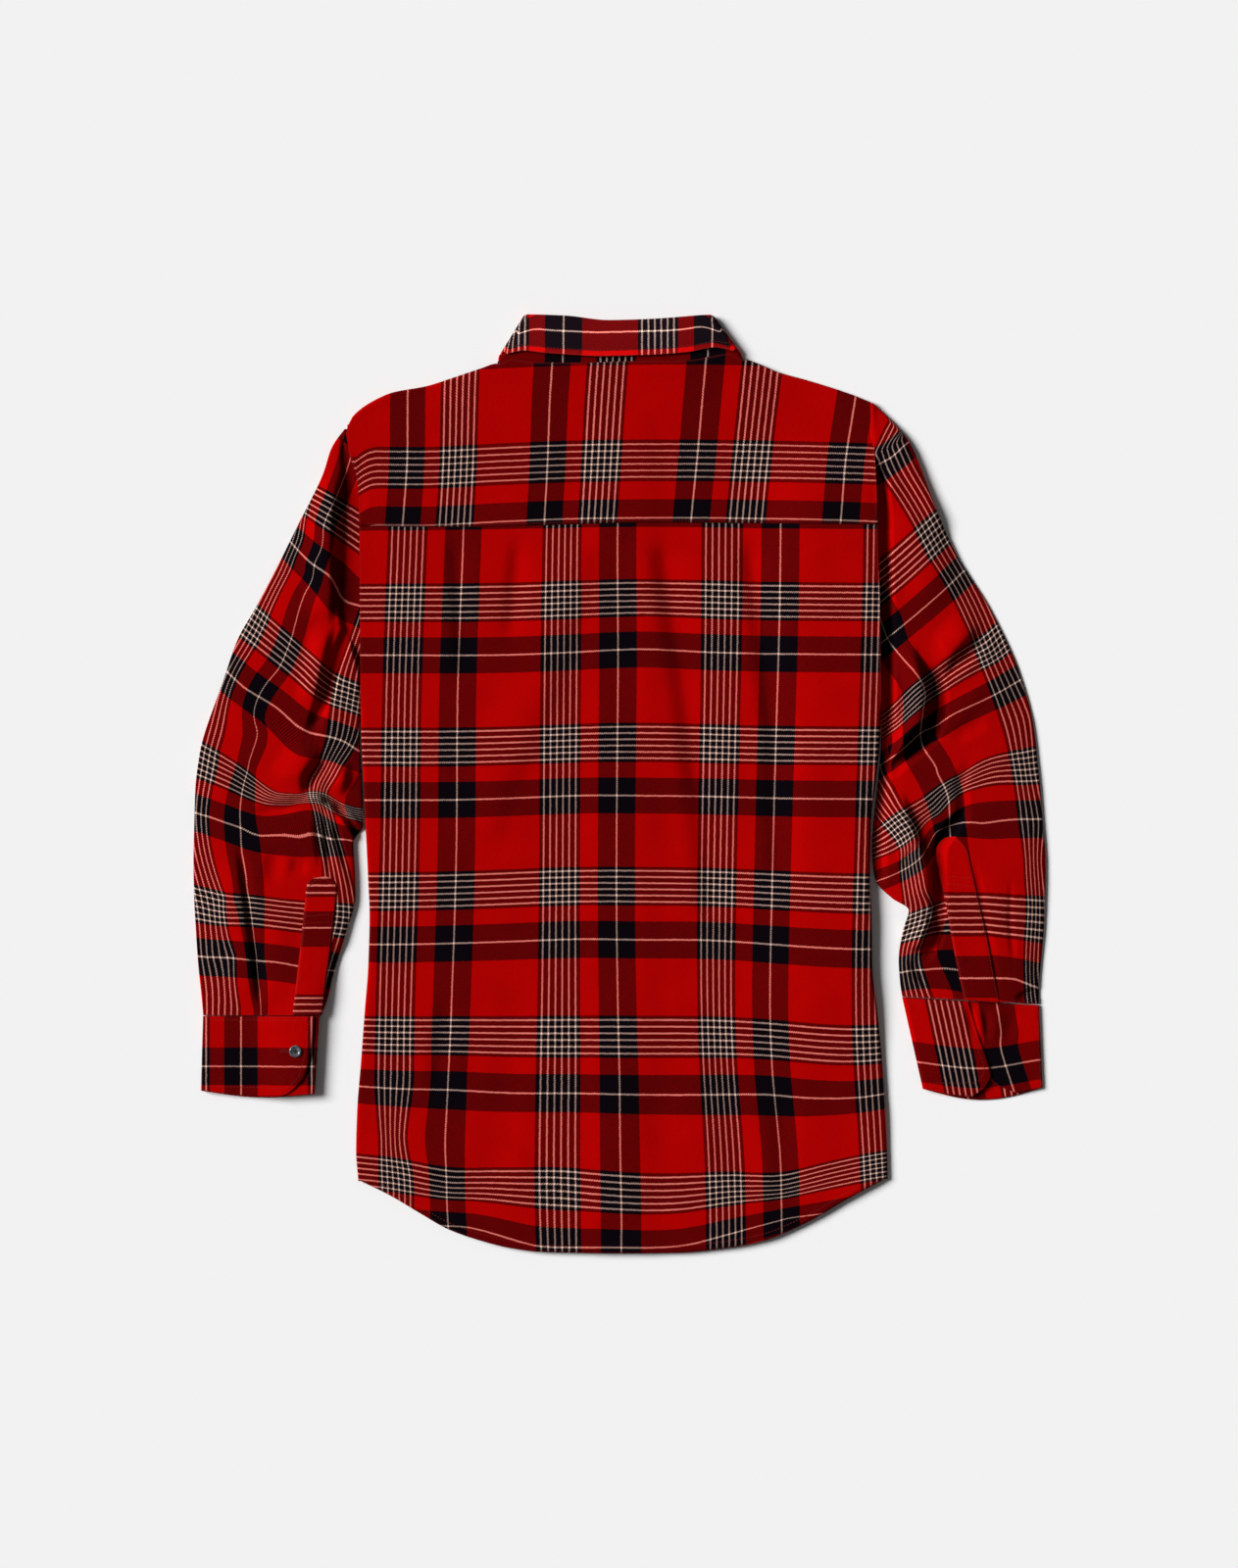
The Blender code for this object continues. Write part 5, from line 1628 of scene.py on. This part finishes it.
# %% Each piece gets its finish and its place in the frame
SHEETS = (
    # piece, node it stands for, cut width, cut length in metres, how it is held
    (back, "back", 0.500, 0.690, "laid"),
    (yoke, "yoke", 0.500, 0.155, "folded"),
    (front_left, "front_left", 0.270, 0.830, "laid"),
    (front_right, "front_right", 0.270, 0.830, "laid"),
    (front_band, "front_band", 0.035, 0.790, "laid"),
    (stand, "collar_stand", 0.510, 0.033, "folded"),
    (leaf, "collar_leaf", 0.470, 0.066, "folded"),
    (sleeve_left, "sleeve_left", 0.310, 0.490, "folded"),
    (sleeve_right, "sleeve_right", 0.310, 0.500, "folded"),
    (strip_left, "sleeve_strip_left", 0.030, 0.130, "laid"),
    (strip_right, "sleeve_strip_right", 0.033, 0.155, "laid"),
    (cuff_left, "cuff_left", 0.270, 0.072, "folded"),
    (cuff_right, "cuff_right", 0.270, 0.085, "folded"),
)


def finish(piece, material, slot):
    piece.data.materials.append(material)
    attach(piece, "root")


for piece, cad, width, length, held in SHEETS:
    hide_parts(cad)
    finish(piece, COLLAR_FLANNEL_PAINTED_LIGHT if piece == leaf else FLANNEL, "flannel")
for pieces, material, slot in (
    (buttons, BUTTON, "button"),
    (button_threads, BUTTON_THREAD, "flannel"),
    (stitches, SEAM_THREAD, "flannel"),
):
    for piece in pieces:
        finish(piece, material, slot)

# %% [markdown]
# ## Floor, light and camera
# The shirt lies on a plain pale floor, lit softly from the left, and the camera looks straight down from
# far away, as for a catalogue.

# %% The stage
floor_mesh = bmesh.new()
just_below = Matrix.Translation((0, 0, -0.0004))
bmesh.ops.create_grid(floor_mesh, x_segments=1, y_segments=1, size=4.0, matrix=just_below)
floor_data = bpy.data.meshes.new("floor")
floor_mesh.to_mesh(floor_data)
floor_mesh.free()
floor = bpy.data.objects.new("floor", floor_data)
bpy.context.scene.collection.objects.link(floor)
pale, pale_tree, pale_shader = new_material("pale_floor")
matt = {"Base Color": (0.82, 0.82, 0.82, 1.0), "Roughness": 0.95, "Specular IOR Level": 0.0}
connect(pale_tree, pale_shader.inputs, matt)
floor_data.materials.append(pale)

sun = bpy.data.lights.new("key", "SUN")
sun.energy = 5.22
sun.angle = math.radians(28)
key = bpy.data.objects.new("key", sun)
key.rotation_euler = Vector((-0.78, 0.25, 0.60)).to_track_quat("Z", "Y").to_euler()
bpy.context.scene.collection.objects.link(key)

world = bpy.data.worlds.new("studio")
world.use_nodes = True
world.node_tree.nodes["Background"].inputs[0].default_value = (1.0, 1.0, 1.0, 1.0)
world.node_tree.nodes["Background"].inputs[1].default_value = 0.10
bpy.context.scene.world = world
bpy.context.scene.view_settings.view_transform = "Standard"

# %% The camera
PICTURE_ROWS, MM_PER_ROW = 1600, 0.92
VIEW_HEIGHT = PICTURE_ROWS * MM_PER_ROW * MM
LENS = 100.0
SENSOR = 36.0
lens = bpy.data.cameras.new("overhead")
lens.sensor_fit = "VERTICAL"
lens.sensor_height = SENSOR
lens.lens = LENS
camera = bpy.data.objects.new("overhead", lens)
camera.location = (0.0, 0.0, VIEW_HEIGHT * LENS / SENSOR + FLAT_HEIGHT * MM)
bpy.context.scene.collection.objects.link(camera)
bpy.context.scene.camera = camera
